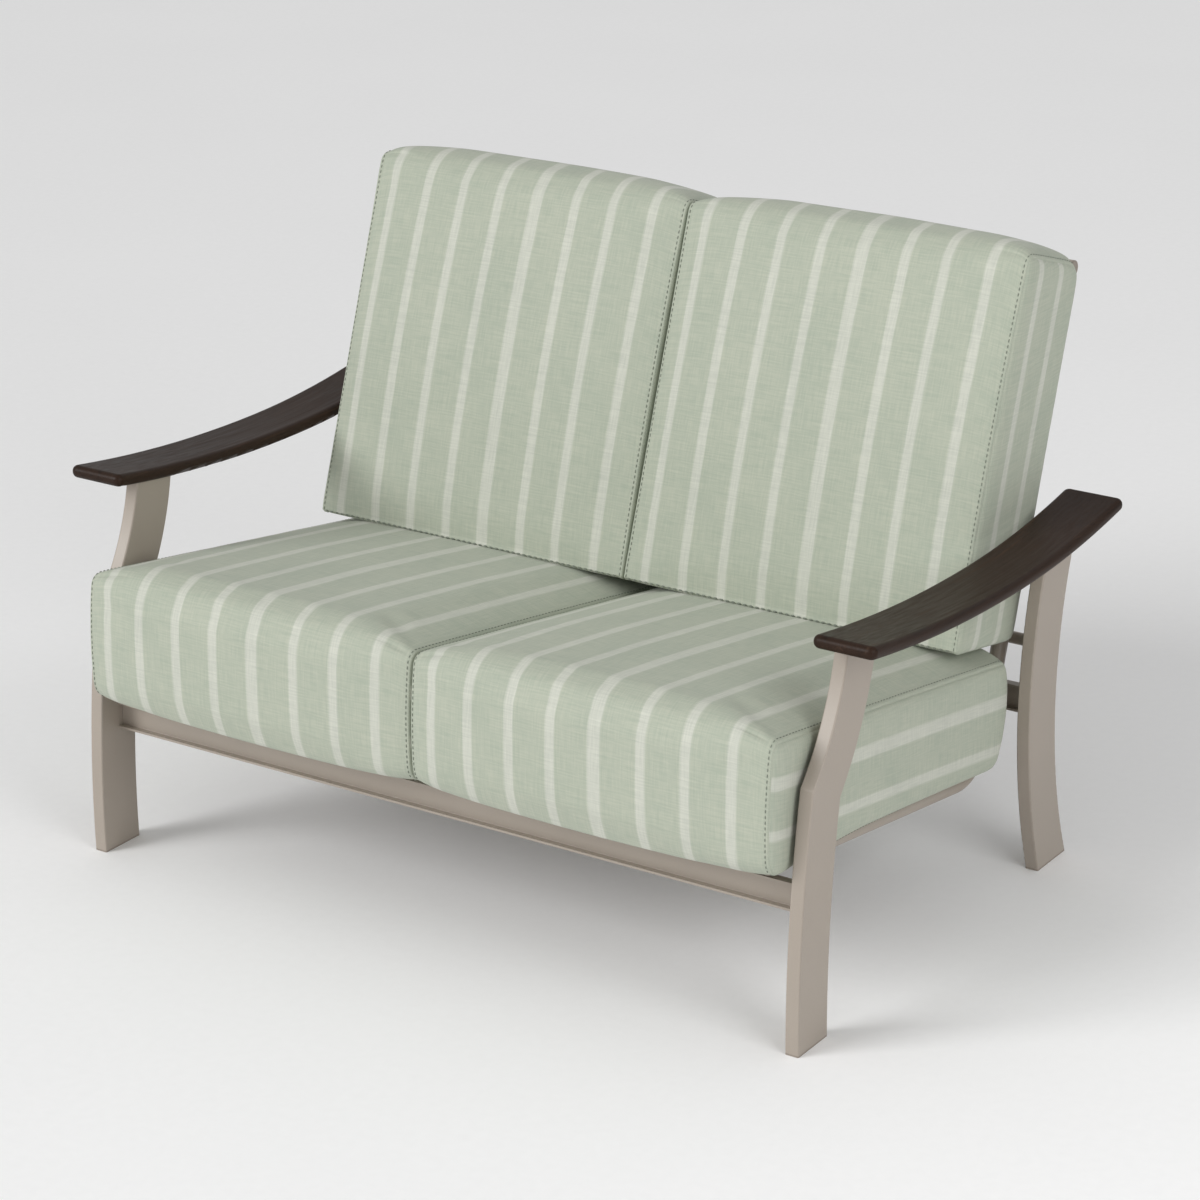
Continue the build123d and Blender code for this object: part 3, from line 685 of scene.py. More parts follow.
@dataclass
class Sling:
    """One tensioned sheet between two bent rails, with a bead along each side and a hem at each end."""

    side: Side
    node: str
    run_start: float
    run_end: float
    direction: tuple
    origin: tuple
    sag: float = 0.0012
    thickness: float = 0.0009
    hem: float = 0.024
    bead_radius: float = 0.0024
    rows: int = 28

    def point(self, across: float, along: float, out: float) -> tuple:
        """Place on the sheet from shares across and along it, and a distance out of it."""
        span = LINES.tube_station - 2 * LINES.channel_offset
        x = self.side.value * LINES.tube_station / 2 + (across - 0.5) * span
        run = self.run_start + (self.run_end - self.run_start) * along
        dip = out - self.sag * math.sin(math.pi * across) ** 2 * math.sin(math.pi * along) ** 0.5
        y = self.origin[0] + self.direction[0] * run - self.direction[1] * dip
        z = self.origin[1] + self.direction[1] * run + self.direction[0] * dip
        return (x, y, z)

    def strip(self, name: str, low: float, high: float, out: float, rows: int) -> bpy.types.Object:
        """A sheet over part of the sling's length.

        Args:
            name: Name of the new piece.
            low: Share along the sling where it starts.
            high: Share where it ends.
            out: How far it lies out of the sling's middle.
            rows: Rows of faces along it.

        Returns:
            The new piece.
        """
        put_down_all()
        bpy.ops.mesh.primitive_grid_add(x_subdivisions=self.rows, y_subdivisions=rows, size=1.0)
        piece = bpy.context.active_object
        shares = points_of(piece)[:, :2] + 0.5
        length = self.run_end - self.run_start
        width = LINES.tube_station - 2 * LINES.channel_offset
        layer = piece.data.uv_layers[0]
        layer.name = "cloth"
        for corner in layer.data:
            corner.uv = (corner.uv[0] * width, (low + corner.uv[1] * (high - low)) * length)
        places = [self.point(across, low + along * (high - low), out) for across, along in shares]
        move_points(piece, np.array(places))
        apply_modifier(piece, "SOLIDIFY", thickness=self.thickness, offset=0.0)
        smooth(piece)
        return settled(piece, name)

    def beads(self, name: str) -> bpy.types.Object:
        """The cords sewn into both sides of the sling, which lie in the rails' channels."""
        pieces = []
        for across in (0.0, 1.0):
            start, end = (Vector(self.point(across, along, 0.0)) for along in (0.0, 1.0))
            put_down_all()
            way = end - start
            bpy.ops.mesh.primitive_cylinder_add(
                vertices=16, radius=self.bead_radius, depth=way.length, location=(start + end) / 2,
                rotation=way.to_track_quat("Z", "X").to_euler(),
            )
            pieces.append(bpy.context.active_object)
            apply_modifier(pieces[-1], "BEVEL", width=self.bead_radius / 3, segments=2)
        return settled(joined(pieces), name)

    def build(self, finishes: Finishes) -> None:
        """Model the sling with its hems and beads.

        Args:
            finishes: The materials.
        """
        name = f"{self.node}_{self.side.word}"
        sheet = self.strip(f"{name}_sheet", 0.0, 1.0, 0.0, self.rows)
        finish_piece(sheet, "frame", finishes.sling, (name,))
        length = self.run_end - self.run_start
        share = self.hem / length
        extras = [self.beads(f"{name}_beads")]
        for word, low, high in (("low", 0.0, share), ("high", 1.0 - share, 1.0)):
            extras.append(self.strip(f"{name}_hem_{word}", low, high, -self.thickness, 4))
        for extra in extras:
            finish_piece(extra, "frame", finishes.sling)


def make_slings(finishes: Finishes) -> None:
    """Model the four slings, each between its places along the seat run or the uprights."""
    corner = LINES.corner()
    run = LINES.corner_run()
    bend = LINES.bend * math.tan((math.pi / 2 - LINES.recline + LINES.slope) / 2)
    seat_way = (math.cos(LINES.slope), -math.sin(LINES.slope))
    back_way = (math.sin(LINES.recline), math.cos(LINES.recline))
    seat_front = (LINES.tube_front, LINES.run_z(LINES.tube_front))
    seat_ends = (SLING_FRONT, run - bend - SLING_BEND_GAP)
    low, high = ((height - corner[1]) / math.cos(LINES.recline) for height in (SLING_LOW, LINES.top))
    back_ends = (low, high - LINES.tube_radius - SLING_TOP_GAP)
    for side in Side:
        Sling(side, "seat_sling", *seat_ends, seat_way, seat_front).build(finishes)
        Sling(side, "back_sling", *back_ends, back_way, corner).build(finishes)


# Cushions

CLOSE_ROWS = (0.0, 0.0014, 0.0034, 0.0068, 0.0125)
SEAM_RISE = (-0.0011, 0.0008, 0.0011, -0.0006, 0.0)
SEAM_SIDE_RISE = (-0.0011, -0.0007, -0.0002, 0.0, 0.0)
STITCH_PROUD_SHARE = 0.55
SURFACE_STEP = 0.002
EDGE_STEPS = 61
SIDE_STEPS = 40
CORNER_STEPS = 13
ALONG_SEAT = np.array([1.0, 0.0, 0.0])
UPWARDS = np.array([0.0, 0.0, 1.0])
LUMP_SHIFT = Vector((3.1, 0.0, 0.0))
CLOTH_SETTINGS = {
    "quality": 4,
    "mass": 0.3,
    "tension_stiffness": 20.0,
    "compression_stiffness": 20.0,
    "shear_stiffness": 8.0,
    "bending_stiffness": 2.0,
    "use_pressure": True,
    "vertex_group_mass": "held",
}


def spaced(length: float, count: int) -> np.ndarray:
    """Places along a panel: close rows by both seams, even ones between.

    Args:
        length: Length of the panel.
        count: Number of faces along it.

    Returns:
        The places, one more than the faces.
    """
    close = np.array(CLOSE_ROWS)
    between = np.linspace(close[-1], length - close[-1], count + 3 - 2 * len(close))[1:-1]
    return np.concatenate([close, between, length - close[::-1]])


def rounded_outline(corners: list, bulges: list, rounds: list) -> tuple:
    """A closed outline of bulged edges with rounded corners.

    Args:
        corners: Depth and height of each corner.
        bulges: How far the edge after each corner swells at its middle.
        rounds: Radius at each corner.

    Returns:
        The outline's points, and for each corner the index of the point at its middle.
    """
    count = len(corners)
    edges = []
    for index in range(count):
        start, end = np.array(corners[index]), np.array(corners[(index + 1) % count])
        along = end - start
        outward = np.array([-along[1], along[0]]) / np.linalg.norm(along) * bulges[index]
        t = np.linspace(0.0, 1.0, EDGE_STEPS)[:, None]
        edges.append(start + along * t + outward * 4 * t * (1 - t))
    trims = []
    for index in range(count):
        arriving = edges[index - 1][-1] - edges[index - 1][-2]
        leaving = edges[index][1] - edges[index][0]
        turn = math.acos(
            np.clip(arriving @ leaving / np.linalg.norm(arriving) / np.linalg.norm(leaving), -1.0, 1.0)
        )
        trims.append((rounds[index] * math.tan(turn / 2), turn))
    trimmed = []
    for index, edge in enumerate(edges):
        reach = np.concatenate([[0.0], np.cumsum(np.linalg.norm(np.diff(edge, axis=0), axis=1))])
        low, high = trims[index][0], reach[-1] - trims[(index + 1) % count][0]
        at = np.linspace(low, max(high, low + 1e-6), SIDE_STEPS)
        trimmed.append(np.column_stack([np.interp(at, reach, edge[:, axis]) for axis in (0, 1)]))
    points, middles = [], []
    for index in range(count):
        before, after = trimmed[index - 1], trimmed[index]
        start, end = before[-1], after[0]
        turn = trims[index][1]
        handle = 4 / 3 * math.tan(turn / 4) * rounds[index]
        first = before[-1] - before[-2]
        last = after[1] - after[0]
        first = start + first / np.linalg.norm(first) * handle
        last = end - last / np.linalg.norm(last) * handle
        t = np.linspace(0.0, 1.0, CORNER_STEPS)[:, None]
        curve = start * (1 - t) ** 3 + 3 * first * t * (1 - t) ** 2 + 3 * last * t * t * (1 - t) + end * t**3
        middles.append(sum(len(part) for part in points) + len(curve) // 2)
        points.append(curve)
        points.append(after[1:-1])
    return np.concatenate(points), middles


@dataclass
class Cushion:
    """A boxed cushion: a wrap that runs round its section, and a panel at each end."""

    side: Side
    canvas: bpy.types.Material
    kind: str
    outer_x: float
    seam_step: float
    across_count: int
    depth_count: int
    height_count: int
    depth_length: float
    height_length: float
    inner_x: float = 0.001
    middle_gap: float = 0.0006
    tube_margin: float = 0.0025
    side_draw: float = 0.002
    middle_draw: float = 0.002
    draw_reach: float = 0.06
    side_puff: float = 0.007
    middle_puff: float = 0.001
    puff_reach: float = 0.024
    puff_power: float = 0.7
    swell_cap: float = 0.004
    pressure: float = 4.0
    sim_frames: int = 20
    pucker: float = 0.0008
    puckers_per_metre: float = 46.0
    pucker_start: float = 0.006
    pucker_reach: float = 0.03
    lump: float = 0.0009
    lumps_per_metre: float = 7.5
    lump_reach: float = 0.06
    inner_softness: float = 0.2
    wadding: float = 0.0055
    core_detail: float = 0.35
    cover_fill: float = 0.85
    stitch_pitch: float = 0.0085
    stitch_length: float = 0.0055
    stitch_radius: float = 0.00075
    zip_height: float = 0.3
    zip_width: float = 0.026
    zip_length: float = 0.42
    zip_lean: float = 1.0
    tape_thickness: float = 0.0009
    tooth_pitch: float = 0.003
    tooth: tuple = (0.0026, 0.0009, 0.001)
    slider_inset: float = 0.012
    slider_out: float = 0.003
    slider: tuple = (0.008, 0.0032, 0.011)
    slider_edge: tuple = (0.0012, 3)
    pull: tuple = (0.005, 0.0012, 0.022)
    pull_edge: tuple = (0.0005, 2)

    station_shares = (0.085, 0.25, 0.5, 0.75)
    crown_shares = (0.0, 0.44, 0.76, 0.95, 1.0, 0.96, 0.84, 0.6, 0.3, 0.0)
    settle_shares = (0.0, 0.0, 0.27, 0.75, 0.95, 0.57, 0.0, 0.0, 0.0, 0.0)
    hang_shares = (0.0, 0.0, 0.0, 0.0, 0.0, 0.0, 0.0, 0.0, 0.5, 0.96)

    @property
    def body(self) -> str:
        """Name of the body that the cushion is."""
        return f"{self.kind}_cushion_{self.side.word}"

    @property
    def middle(self) -> float:
        """How far the cushion's middle is from the middle of the seat."""
        return (self.inner_x + self.outer_x) / 2

    def stations(self) -> list:
        """Places of the known sections, from the middle of the seat outwards."""
        width = self.outer_x - self.inner_x
        gap = LINES.tube_radius + self.tube_margin
        return [
            self.inner_x,
            gap,
            *(self.inner_x + width * share for share in self.station_shares),
            LINES.tube_station - gap,
            LINES.tube_station + gap,
            self.outer_x - self.seam_step,
            self.outer_x,
        ]

    def section(self, crown: float, settle: float, hang: float) -> tuple:
        """Corners, bulges and rounds of one section, and the corner that ends each side.

        Args:
            crown: Share of the full crown.
            settle: Share of the way down from the rails to the sling.
            hang: Share of the way from the rails to the side seam.

        Returns:
            Corners, bulges, rounds, and the corners' numbers for front bottom, front top, rear top and
            rear bottom.
        """
        raise NotImplementedError

    def middle_distance(self, y: float, z: float) -> float:
        """How far a point is from the cushion's middle along its sides, as a share of the drawn-in span."""
        raise NotImplementedError

    def rows(self) -> tuple:
        """Places of the rows across, along the depth and up the height, each from its own start."""
        return (
            spaced(self.outer_x - self.inner_x, self.across_count),
            spaced(self.depth_length, self.depth_count),
            spaced(self.height_length, self.height_count),
        )

    def outline_at(self, x: float) -> tuple:
        """Outline of the section at a place across, and the numbers of its four end points."""
        tables = (self.crown_shares, self.settle_shares, self.hang_shares)
        shares = [monotone(self.stations(), table, x) for table in tables]
        corners, bulges, rounds, ends = self.section(*shares)
        outline, middles = rounded_outline(corners, bulges, rounds)
        return outline, [middles[end] for end in ends]

    def cross_sections(self) -> np.ndarray:
        """Sections at every row across, each with its four sides at every row along them.

        Returns:
            Array of row across, place in the loop, and depth or height. The loop is front upwards, top to the
            rear, rear upwards, and bottom to the rear.
        """
        xs, back, up = self.rows()
        shares_back, shares_up = back / self.depth_length, up / self.height_length
        table = []
        for x in xs + self.inner_x:
            outline, ends = self.outline_at(x)
            sides = []
            for number, shares in enumerate((shares_up, shares_back, shares_up, shares_back)):
                start, end = ends[number], ends[(number + 1) % 4]
                span = np.roll(outline, -start, axis=0)[:(end - start) % len(outline) + 1]
                reach = np.concatenate([[0.0], np.cumsum(np.linalg.norm(np.diff(span, axis=0), axis=1))])
                at = (shares if number < 2 else 1 - shares) * reach[-1]
                sides.append(np.column_stack([np.interp(at, reach, span[:, axis]) for axis in (0, 1)]))
            table.append(np.concatenate(sides))
        return np.array(table)

    def block(self) -> bpy.types.Object:
        """A cube cut into rows along each of its three ways, before it takes the cushion's shape."""
        put_down_all()
        bpy.ops.mesh.primitive_cube_add(size=1.0)
        piece = bpy.context.active_object
        bpy.ops.object.mode_set(mode="EDIT")
        bpy.ops.mesh.select_mode(type="EDGE")
        for axis, count in enumerate((self.across_count, self.depth_count, self.height_count)):
            bpy.ops.mesh.select_all(action="DESELECT")
            mesh = bmesh.from_edit_mesh(piece.data)
            for edge in mesh.edges:
                first, second = (vertex.co for vertex in edge.verts)
                edge.select = abs(first[axis] - second[axis]) > 1e-4
            bmesh.update_edit_mesh(piece.data)
            bpy.ops.mesh.subdivide(number_cuts=count - 1)
        bpy.ops.object.mode_set(mode="OBJECT")
        return piece

    def grid(self, piece: bpy.types.Object) -> np.ndarray:
        """Row numbers of each point of the block across, along its depth and up its height."""
        counts = np.array([self.across_count, self.depth_count, self.height_count])
        return np.rint((points_of(piece) + 0.5) * counts).astype(int)

    def shape(self, grid: np.ndarray) -> np.ndarray:
        """Places of all points of the cover.

        Args:
            grid: Row numbers of each point.

        Returns:
            The places, in the row frame.
        """
        across, depth, height = self.across_count, self.depth_count, self.height_count
        table = self.cross_sections()
        starts = np.cumsum([0, height + 1, depth + 1, height + 1])
        xs, back, up = self.rows()
        places = np.zeros((len(grid), 3))
        for index, (a, b, c) in enumerate(grid):
            row = a if self.side is Side.RIGHT else across - a
            sides = table[row]
            front, top, rear, low = (sides[starts[0] + c], sides[starts[1] + b], sides[starts[2] + c],
                                     sides[starts[3] + b])
            if b == 0:
                place = front
            elif b == depth:
                place = rear
            elif c == height:
                place = top
            elif c == 0:
                place = low
            else:
                s, t = back[b] / self.depth_length, up[c] / self.height_length
                corner = (
                    (1 - s) * (1 - t) * sides[starts[0]]
                    + (1 - s) * t * sides[starts[0] + height]
                    + s * (1 - t) * sides[starts[2]]
                    + s * t * sides[starts[2] + height]
                )
                place = (1 - s) * front + s * rear + (1 - t) * low + t * top - corner
            x = xs[row] + self.inner_x
            drawn = max(0.0, 1.0 - self.middle_distance(*place) ** 2)
            outer_share = eased((x - self.outer_x + self.draw_reach) / self.draw_reach)
            inner_share = eased((self.inner_x + self.draw_reach - x) / self.draw_reach)
            x += drawn * (self.middle_draw * inner_share - self.side_draw * outer_share)
            if 0 < b < depth and 0 < c < height:
                full = self.fullness(back[min(b, depth - b)], up[min(c, height - c)])
                x += full * (self.side_puff if row == across else -self.middle_puff)
            places[index] = (x * self.side.value, place[0], place[1])
        return places

    def fullness(self, *rims: float) -> float:
        """How far an end panel has swelled at given distances from its rim, from 0 to 1."""
        shares = (math.sin(math.pi / 2 * min(1.0, rim / self.puff_reach)) for rim in rims)
        return math.prod(shares) ** self.puff_power

    def map_cloth(self, piece: bpy.types.Object, grid: np.ndarray) -> None:
        """Lay the piece's cloth map: across the stripes, and along them, in metres."""
        xs, back, up = self.rows()
        if self.side is Side.LEFT:
            xs = xs[-1] - xs[::-1]
        layer = piece.data.uv_layers[0] if piece.data.uv_layers else piece.data.uv_layers.new(name="cloth")
        layer.name = "cloth"
        flat = np.zeros((len(piece.data.loops), 2))
        places = points_of(piece)
        for face in piece.data.polygons:
            rows = grid[list(face.vertices)]
            panel = self.panel(rows)
            for loop, point, (a, b, c) in zip(face.loop_indices, face.vertices, rows):
                if panel is Panel.SIDE:
                    flat[loop] = self.side_cloth(*places[point][1:])
                elif panel is Panel.FRONT:
                    flat[loop] = (xs[a], up[c])
                elif panel is Panel.TOP:
                    flat[loop] = (xs[a], up[-1] + back[b])
                elif panel is Panel.REAR:
                    flat[loop] = (xs[a], 2 * up[-1] + back[-1] - up[c])
                else:
                    flat[loop] = (xs[a], -back[b])
        layer.data.foreach_set("uv", flat.ravel())

    def panel(self, rows: np.ndarray) -> Panel:
        """Which panel a face is on, from the row numbers of its corners."""
        if np.ptp(rows[:, 0]) == 0:
            return Panel.SIDE
        if np.ptp(rows[:, 1]) == 0:
            return Panel.FRONT if rows[0, 1] == 0 else Panel.REAR
        return Panel.BOTTOM if rows[0, 2] == 0 else Panel.TOP

    def side_cloth(self, y: float, z: float) -> tuple:
        """Place on the striped cloth of a point of an end panel."""
        raise NotImplementedError

    def held_rows(self, grid: np.ndarray) -> np.ndarray:
        """True for the points that stay put while the cover is blown up."""
        a, b, c = grid.T
        by_seam = (np.minimum(a, self.across_count - a) < len(CLOSE_ROWS) - 1)
        return by_seam | (b == self.depth_count) | (c == 0)

    def blow_up(self, piece: bpy.types.Object, grid: np.ndarray) -> None:
        """Swell the cover between its seams, as a full cushion does, with a cap on how far."""
        before = points_of(piece)
        group = piece.vertex_groups.new(name="held")
        group.add([int(index) for index in np.flatnonzero(self.held_rows(grid))], 1.0, "REPLACE")
        take_up(piece)
        modifier = piece.modifiers.new("swell", "CLOTH")
        for key, value in CLOTH_SETTINGS.items():
            setattr(modifier.settings, key, value)
        modifier.settings.uniform_pressure_force = self.pressure
        modifier.settings.effector_weights.gravity = 0.0
        modifier.collision_settings.use_collision = False
        modifier.collision_settings.use_self_collision = False
        modifier.point_cache.frame_start = 1
        modifier.point_cache.frame_end = self.sim_frames
        for step in range(1, self.sim_frames + 1):
            bpy.context.scene.frame_set(step)
        bpy.ops.object.modifier_apply(modifier=modifier.name)
        bpy.context.scene.frame_set(1)
        moved = points_of(piece) - before
        far = np.linalg.norm(moved, axis=1, keepdims=True)
        log.info("%s: cloth moved up to %.1f mm, held to %.1f mm", piece.name, far.max() * 1000,
                 self.swell_cap * 1000)
        held = before + moved * np.minimum(1.0, self.swell_cap / np.maximum(far, 1e-9))
        sign = self.side.value
        held[:, 0] = sign * np.maximum(sign * held[:, 0], self.middle_gap)
        move_points(piece, held)
        piece.vertex_groups.clear()

    def seam_distances(self, grid: np.ndarray) -> tuple:
        """Distance of each point to the nearest end seam, and of each end panel point to its rim."""
        xs, back, up = self.rows()
        a, b, c = grid.T
        to_end = np.minimum(xs[a], xs[-1] - xs[a])
        to_rim = np.minimum(np.minimum(back[b], back[-1] - back[b]), np.minimum(up[c], up[-1] - up[c]))
        return to_end, to_rim

    def sew(self, piece: bpy.types.Object, grid: np.ndarray) -> None:
        """Raise the seams' ridges and the soft puckers and lumps of a filled cover."""
        places, normals = points_of(piece), normals_of(piece)
        to_end, to_rim = self.seam_distances(grid)
        on_end = (to_end < 1e-6) & (to_rim > 1e-6)
        rise = np.where(on_end, np.interp(to_rim, CLOSE_ROWS, SEAM_SIDE_RISE),
                        np.interp(to_end, CLOSE_ROWS, SEAM_RISE))
        soft = self.soft_share(grid)
        distance = np.where(on_end, to_rim, to_end)
        for index, place in enumerate(places):
            near = math.exp(-distance[index] / self.pucker_reach)
            near *= min(1.0, distance[index] / self.pucker_start)
            ripple = noise.noise(Vector(place) * self.puckers_per_metre) * self.pucker * near
            lump = noise.noise(Vector(place) * self.lumps_per_metre + LUMP_SHIFT) * self.lump
            lump *= min(1.0, distance[index] / self.lump_reach)
            rise[index] += (ripple + lump) * soft[index]
        rise += self.extra_seams(grid)
        move_points(piece, places + normals * rise[:, None])

    def soft_share(self, grid: np.ndarray) -> np.ndarray:
        """How far each point may take part in puckers and lumps, none where the cushion rests."""
        a, b, c = grid.T
        share = np.ones(len(grid))
        share[(c == 0) | (b == self.depth_count)] = 0.0
        inner = a == (0 if self.side is Side.RIGHT else self.across_count)
        share[inner] = self.inner_softness
        return share

    def extra_seams(self, grid: np.ndarray) -> np.ndarray:
        """Rise of any seam that runs across the wrap."""
        return np.zeros(len(grid))

    def path(self, piece: bpy.types.Object, grid: np.ndarray, pairs: list, sizes: tuple) -> tuple:
        """A line between two rows of the cover's points.

        Args:
            piece: The cover.
            grid: Row numbers of each of its points.
            pairs: Row numbers of the two points on both sides of each step of the line.
            sizes: Pitch, length and radius of the stitches along it.

        Returns:
            The line's places, its outward directions and the sizes.
        """
        places, normals = points_of(piece), normals_of(piece)
        index_of = {tuple(row): index for index, row in enumerate(grid.tolist())}
        steps = [[index_of[rows] for rows in pair] for pair in pairs]
        line = np.array([places[step].mean(axis=0) for step in steps])
        outward = np.array([normals[step].mean(axis=0) for step in steps])
        return line, outward, sizes

    def seam_paths(self, piece: bpy.types.Object, grid: np.ndarray) -> list:
        """Lines beside both end seams, on the wrap, that the topstitching follows."""
        across, depth, height = self.across_count, self.depth_count, self.height_count
        loop = [(0, c) for c in range(height)] + [(b, height) for b in range(depth)]
        loop += [(depth, c) for c in range(height, 0, -1)] + [(b, 0) for b in range(depth, -1, -1)]
        sizes = (self.stitch_pitch, self.stitch_length, self.stitch_radius)
        return [
            self.path(piece, grid, [[(row, b, c) for row in rows] for b, c in loop], sizes)
            for rows in ((2, 3), (across - 2, across - 3))
        ]

    def stitch(self, paths: list) -> bpy.types.Object:
        """Lay a stitch at every pitch along the given lines.

        Args:
            paths: Lines of places and outward directions, each with its stitches' pitch, length and radius.

        Returns:
            The stitches as one piece.
        """
        matrices = []
        for line, outward, (pitch, length, radius) in paths:
            reach = np.concatenate([[0.0], np.cumsum(np.linalg.norm(np.diff(line, axis=0), axis=1))])
            for start in np.arange(pitch / 2, reach[-1] - length, pitch):
                ends = [np.array([np.interp(at, reach, line[:, axis]) for axis in range(3)])
                        for at in (start, start + length)]
                up = np.array([np.interp(start + length / 2, reach, outward[:, axis]) for axis in range(3)])
                middle = (ends[0] + ends[1]) / 2 + up * radius * STITCH_PROUD_SHARE
                matrices.append(facing(middle, ends[1] - ends[0], up, (radius, radius, length / 2)))
        put_down_all()
        bpy.ops.mesh.primitive_uv_sphere_add(segments=6, ring_count=5, radius=1.0, calc_uvs=False)
        return copies_of(bpy.context.active_object, matrices, f"{self.kind}_stitches_{self.side.word}")

    def rear_surface(self, x: float, z: float, out: float) -> tuple:
        """Point on the rear of the cover.

        Args:
            x: How far it is from the middle of the seat.
            z: Its height.
            out: How far it lies off the cloth.

        Returns:
            The point, and the outward direction there.
        """
        outline, ends = self.outline_at(x)
        rear = outline[ends[2]:ends[3] + 1][::-1]
        y = float(np.interp(z, rear[:, 1], rear[:, 0]))
        ahead = float(np.interp(z + SURFACE_STEP, rear[:, 1], rear[:, 0])) - y
        way = np.array([SURFACE_STEP, -ahead]) / math.hypot(SURFACE_STEP, ahead)
        return np.array((self.side.value * x, y + way[0] * out, z + way[1] * out)), np.array((0.0, *way))

    def zip_tape(self, finishes: Finishes) -> None:
        """Model the zip's tape, bent to the rear of the cover."""
        put_down_all()
        bpy.ops.mesh.primitive_grid_add(x_subdivisions=48, y_subdivisions=8, size=1.0)
        tape = bpy.context.active_object
        rows = []
        for x, up, _ in points_of(tape):
            station = self.middle + x * self.zip_length * self.side.value
            height = self.zip_height + up * self.zip_width * self.zip_lean
            rows.append(self.rear_surface(station, height, self.tape_thickness)[0])
        move_points(tape, np.array(rows))
        apply_modifier(tape, "SOLIDIFY", thickness=self.tape_thickness, offset=0.0)
        smooth(tape)
        settled(tape, f"{self.kind}_zip_tape_{self.side.word}")
        bpy.ops.object.mode_set(mode="EDIT")
        bpy.ops.mesh.select_all(action="SELECT")
        bpy.ops.mesh.normals_make_consistent(inside=False)
        bpy.ops.object.mode_set(mode="OBJECT")
        finish_piece(tape, self.body, finishes.tape, (f"{self.kind}_zip_{self.side.word}",))

    def zip_coil(self, finishes: Finishes) -> None:
        """Model the zip's teeth, all along the tape."""
        matrices = []
        for step in range(int(self.zip_length / self.tooth_pitch)):
            station = self.middle - self.zip_length / 2 + (step + 0.5) * self.tooth_pitch
            place, up = self.rear_surface(station, self.zip_height, self.tape_thickness + self.tooth[2])
            matrices.append(facing(place, ALONG_SEAT, up, self.tooth))
        put_down_all()
        bpy.ops.mesh.primitive_uv_sphere_add(segments=8, ring_count=5, radius=1.0, calc_uvs=False)
        coil = copies_of(bpy.context.active_object, matrices, f"{self.kind}_zip_coil_{self.side.word}")
        finish_piece(coil, self.body, finishes.coil)

    def zip_slider(self, finishes: Finishes) -> None:
        """Model the zip's slider with its pull."""
        station = self.middle + self.zip_length / 2 - self.slider_inset
        place, up = self.rear_surface(station, self.zip_height, self.slider_out)
        hang = place + up * (self.slider[1] + self.pull[1]) / 2 - UPWARDS * self.pull[2] / 2
        parts = []
        for word, middle, along, sizes, (edge, segments) in (
            ("slider", place, ALONG_SEAT, self.slider, self.slider_edge),
            ("pull", hang, UPWARDS, self.pull, self.pull_edge),
        ):
            put_down_all()
            bpy.ops.mesh.primitive_cube_add(size=1.0)
            part = bpy.context.active_object
            part.matrix_world = facing(middle, along, up, sizes)
            parts.append(settled(part, f"{self.kind}_zip_{word}_{self.side.word}"))
            apply_modifier(part, "BEVEL", width=edge, segments=segments)
        joined(parts)
        finish_piece(parts[0], self.body, finishes.steel)

    def build(self, finishes: Finishes) -> None:
        """Model the cushion with its cover, stitching, zip and core.

        Args:
            finishes: The materials.
        """
        cover = self.block()
        cover.name = f"{self.kind}_cushion_cover_{self.side.word}"
        cover.data.name = cover.name
        grid = self.grid(cover)
        move_points(cover, self.shape(grid))
        self.map_cloth(cover, grid)
        core = cover.copy()
        core.data = cover.data.copy()
        core.name = f"{self.kind}_foam_core_{self.side.word}"
        core.data.name = core.name
        bpy.context.scene.collection.objects.link(core)
        take_up(core)
        bpy.ops.object.mode_set(mode="EDIT")
        bpy.ops.mesh.select_all(action="SELECT")
        bpy.ops.transform.shrink_fatten(value=-self.wadding)
        bpy.ops.object.mode_set(mode="OBJECT")
        apply_modifier(core, "DECIMATE", ratio=self.core_detail)
        smooth(core)
        finish_piece(core, self.body, finishes.foam, (f"{self.kind}_core_{self.side.word}",))
        self.blow_up(cover, grid)
        self.sew(cover, grid)
        stitches = self.stitch(self.seam_paths(cover, grid))
        # The stitches take the thread painted darker than the cloth, a painted shadow round each stitch.
        finish_piece(stitches, self.body, finishes.thread)
        apply_modifier(cover, "SUBSURF", levels=1, render_levels=1, uv_smooth="NONE")
        smooth(cover)
        replaced = (f"{self.kind}_cover_{self.side.word}",)
        finish_piece(cover, self.body, self.canvas, replaced)
        self.zip_tape(finishes)
        self.zip_coil(finishes)
        self.zip_slider(finishes)


